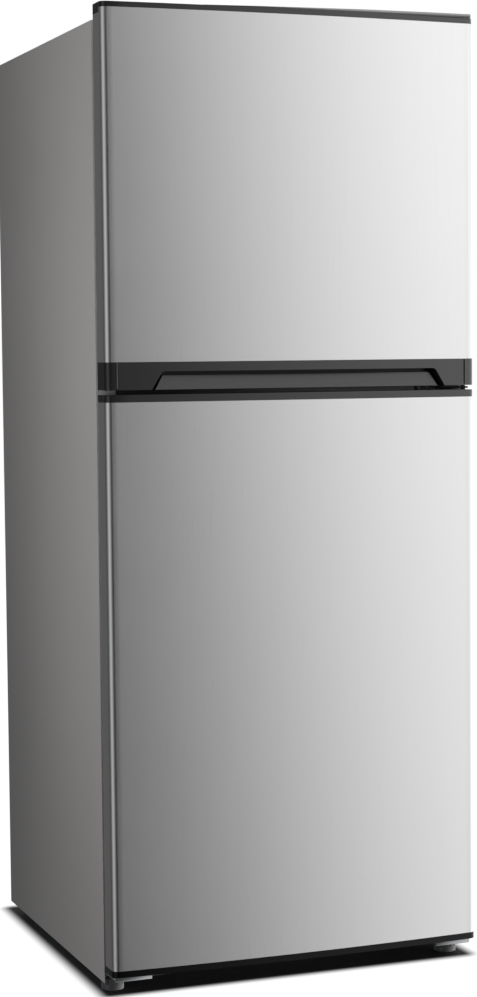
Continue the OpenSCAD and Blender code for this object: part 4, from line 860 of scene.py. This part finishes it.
class FRIDGE_OT_stage(bpy.types.Operator):
    """Makes the floor, the lights and the camera"""

    bl_idname = "fridge.stage"
    bl_label = "Floor, lights and camera"

    def execute(self, context):
        stage = context.scene.refrigerator_stage
        self.floor(stage)
        self.sky(context.scene)
        self.light("key softbox", (3.4, -2.6, 2.6), (0.1, 0.0, 0.8), (2.4, 2.4), stage.key_power)
        self.light("top softbox", (-0.3, 0.2, 4.2), (0.0, 0.1, 0.0), (3.0, 3.0), stage.key_power * 0.9)
        self.light("left fill", (-1.4, -0.85, 1.15), (-0.3, 0.0, 0.7), (0.9, 0.9), stage.fill_power)
        self.light("rear fill", (1.6, 3.4, 2.4), (0.0, 0.3, 0.8), (1.8, 1.8), stage.key_power * 0.7)
        self.camera(context.scene, stage)
        context.scene.view_settings.view_transform = "Standard"
        return {"FINISHED"}

    def floor(self, stage):
        """A white floor with a painted shadow: its glow turns black close under the cabinet."""
        mesh = bmesh.new()
        bmesh.ops.create_circle(mesh, cap_ends=True, segments=96, radius=stage.floor_radius)
        bmesh.ops.translate(mesh, vec=(0.0, stage.floor_radius - 1.3, 0.0), verts=mesh.verts)
        data = bpy.data.meshes.new("floor")
        mesh.to_mesh(data)
        mesh.free()
        f = Finish("pale floor")
        x, y = f.axis("X"), f.axis("Y")
        beside = (abs(x) - CAD_BOUNDS[1][0] + SHADOW_SIDE).at_least(0.0)
        before = ((FRONT + stage.shadow_inset) - y).at_least(0.0)
        behind = (y - BACK + SHADOW_BACK).at_least(0.0)
        away = (beside * beside + before * before + behind * behind) ** 0.5
        # Painted shadow: 0 under and near the cabinet, fading to 1 outwards; it sets the floor's glow, no
        # lamp casts it
        lit = f.step(away, 0.003, stage.shadow_reach)
        mottle = f.noise(40.0, 3.0, 0.5)
        data.materials.append(f.surface(
            base_color=f.blend(mottle, (0.01, 0.01, 0.01), (0.02, 0.02, 0.02)), roughness=0.9,
            specular_ior_level=0.1, emission_color=f.blend(lit, (0.0, 0.0, 0.0), (1.0, 1.0, 1.0)),
            emission_strength=1.0))
        piece = bpy.data.objects.new("floor", data)
        bpy.context.scene.collection.objects.link(piece)
        piece.visible_diffuse = False
        piece.visible_glossy = False

    def sky(self, scene):
        """Light that grows smoothly from the left to the right, with a soft strip on the front left."""
        world = bpy.data.worlds.new("studio")
        scene.world = world
        world.use_nodes = True
        g = Graph(world.node_tree)
        direction = g.node("ShaderNodeTexCoord").outputs["Generated"]
        parts = g.node("ShaderNodeSeparateXYZ", {}, {0: direction})
        x, y, z = (Socket(g, output) for output in parts.outputs)
        sweep = (x * 4.5 - 0.67).at_least(0.01).at_most(1.6) * ((2.6 - 3.6 * x) * z).exp()
        strip = (x * -0.9 - y * 0.43).at_least(0.0) ** 8.0
        level = sweep + strip * 0.9 + y.at_least(0.0) * 0.15
        white = (1.0, 1.0, 1.0, 1.0)
        lit = g.node("ShaderNodeBackground", {}, {"Color": white, "Strength": level})
        seen = g.node("ShaderNodeBackground", {}, {"Color": white})
        path = g.node("ShaderNodeLightPath")
        mix = g.node("ShaderNodeMixShader", {}, {
            0: path.outputs["Is Camera Ray"], 1: lit.outputs[0], 2: seen.outputs[0]})
        g.node("ShaderNodeOutputWorld", {}, {"Surface": mix.outputs[0]})

    def light(self, name, place, target, size, power):
        """A soft rectangular light that faces a target and isn't seen in reflections."""
        data = bpy.data.lights.new(name, "AREA")
        data.shape = "RECTANGLE"
        data.size, data.size_y = size
        data.energy = power
        lamp = bpy.data.objects.new(name, data)
        lamp.location = place
        lamp.rotation_euler = (Vector(target) - Vector(place)).to_track_quat("-Z", "Y").to_euler()
        lamp.visible_camera = False
        lamp.visible_glossy = False
        bpy.context.scene.collection.objects.link(lamp)

    def camera(self, scene, stage):
        """The camera, left of the doors and a little above their middle."""
        yaw, pitch, roll = CAMERA_YAW, CAMERA_PITCH, CAMERA_ROLL
        ahead = Vector((math.sin(yaw) * math.cos(pitch), math.cos(yaw) * math.cos(pitch),
                        -math.sin(pitch)))
        right = Vector((math.cos(yaw), -math.sin(yaw), 0.0))
        up = right.cross(ahead)
        level = right * math.cos(roll) + up * math.sin(roll)
        tilt = up * math.cos(roll) - right * math.sin(roll)
        data = bpy.data.cameras.new("camera")
        data.lens = stage.lens
        data.sensor_fit = "AUTO"
        data.sensor_width = 36.0
        data.clip_end = 100.0
        camera = bpy.data.objects.new("camera", data)
        turned = Matrix((level, tilt, -ahead)).transposed().to_4x4()
        place = (CAMERA_X, FRONT + SKIN_CROWN - CAMERA_AWAY, CAMERA_Z)
        camera.matrix_world = Matrix.Translation(place) @ turned
        scene.collection.objects.link(camera)
        scene.camera = camera


# ------------------------------------------------------------------ panel and start


STEPS = ("frame", "skins", "gaskets", "shelves", "bins", "dial", "screws", "base", "stage")


class FRIDGE_PT_panel(bpy.types.Panel):
    """Lists the steps and the settings"""

    bl_idname = "FRIDGE_PT_panel"
    bl_label = "Refrigerator"
    bl_space_type = "VIEW_3D"
    bl_region_type = "UI"
    bl_category = "Refrigerator"

    def draw(self, context):
        for group in (context.scene.refrigerator_look, context.scene.refrigerator_stage):
            box = self.layout.box()
            for name in group.__annotations__:
                box.prop(group, name)
        for step in STEPS:
            self.layout.operator("fridge." + step)


CLASSES = (RefrigeratorLook, StageLook, FRIDGE_OT_frame, FRIDGE_OT_skins, FRIDGE_OT_gaskets,
           FRIDGE_OT_shelves, FRIDGE_OT_bins, FRIDGE_OT_dial, FRIDGE_OT_screws, FRIDGE_OT_base,
           FRIDGE_OT_stage, FRIDGE_PT_panel)


def register():
    for item in CLASSES:
        bpy.utils.register_class(item)
    bpy.types.Scene.refrigerator_look = PointerProperty(type=RefrigeratorLook)
    bpy.types.Scene.refrigerator_stage = PointerProperty(type=StageLook)


def unregister():
    del bpy.types.Scene.refrigerator_stage
    del bpy.types.Scene.refrigerator_look
    for item in reversed(CLASSES):
        bpy.utils.unregister_class(item)


def main():
    register()
    for step in STEPS:
        getattr(bpy.ops.fridge, step)()


if __name__ == "__main__":
    main()
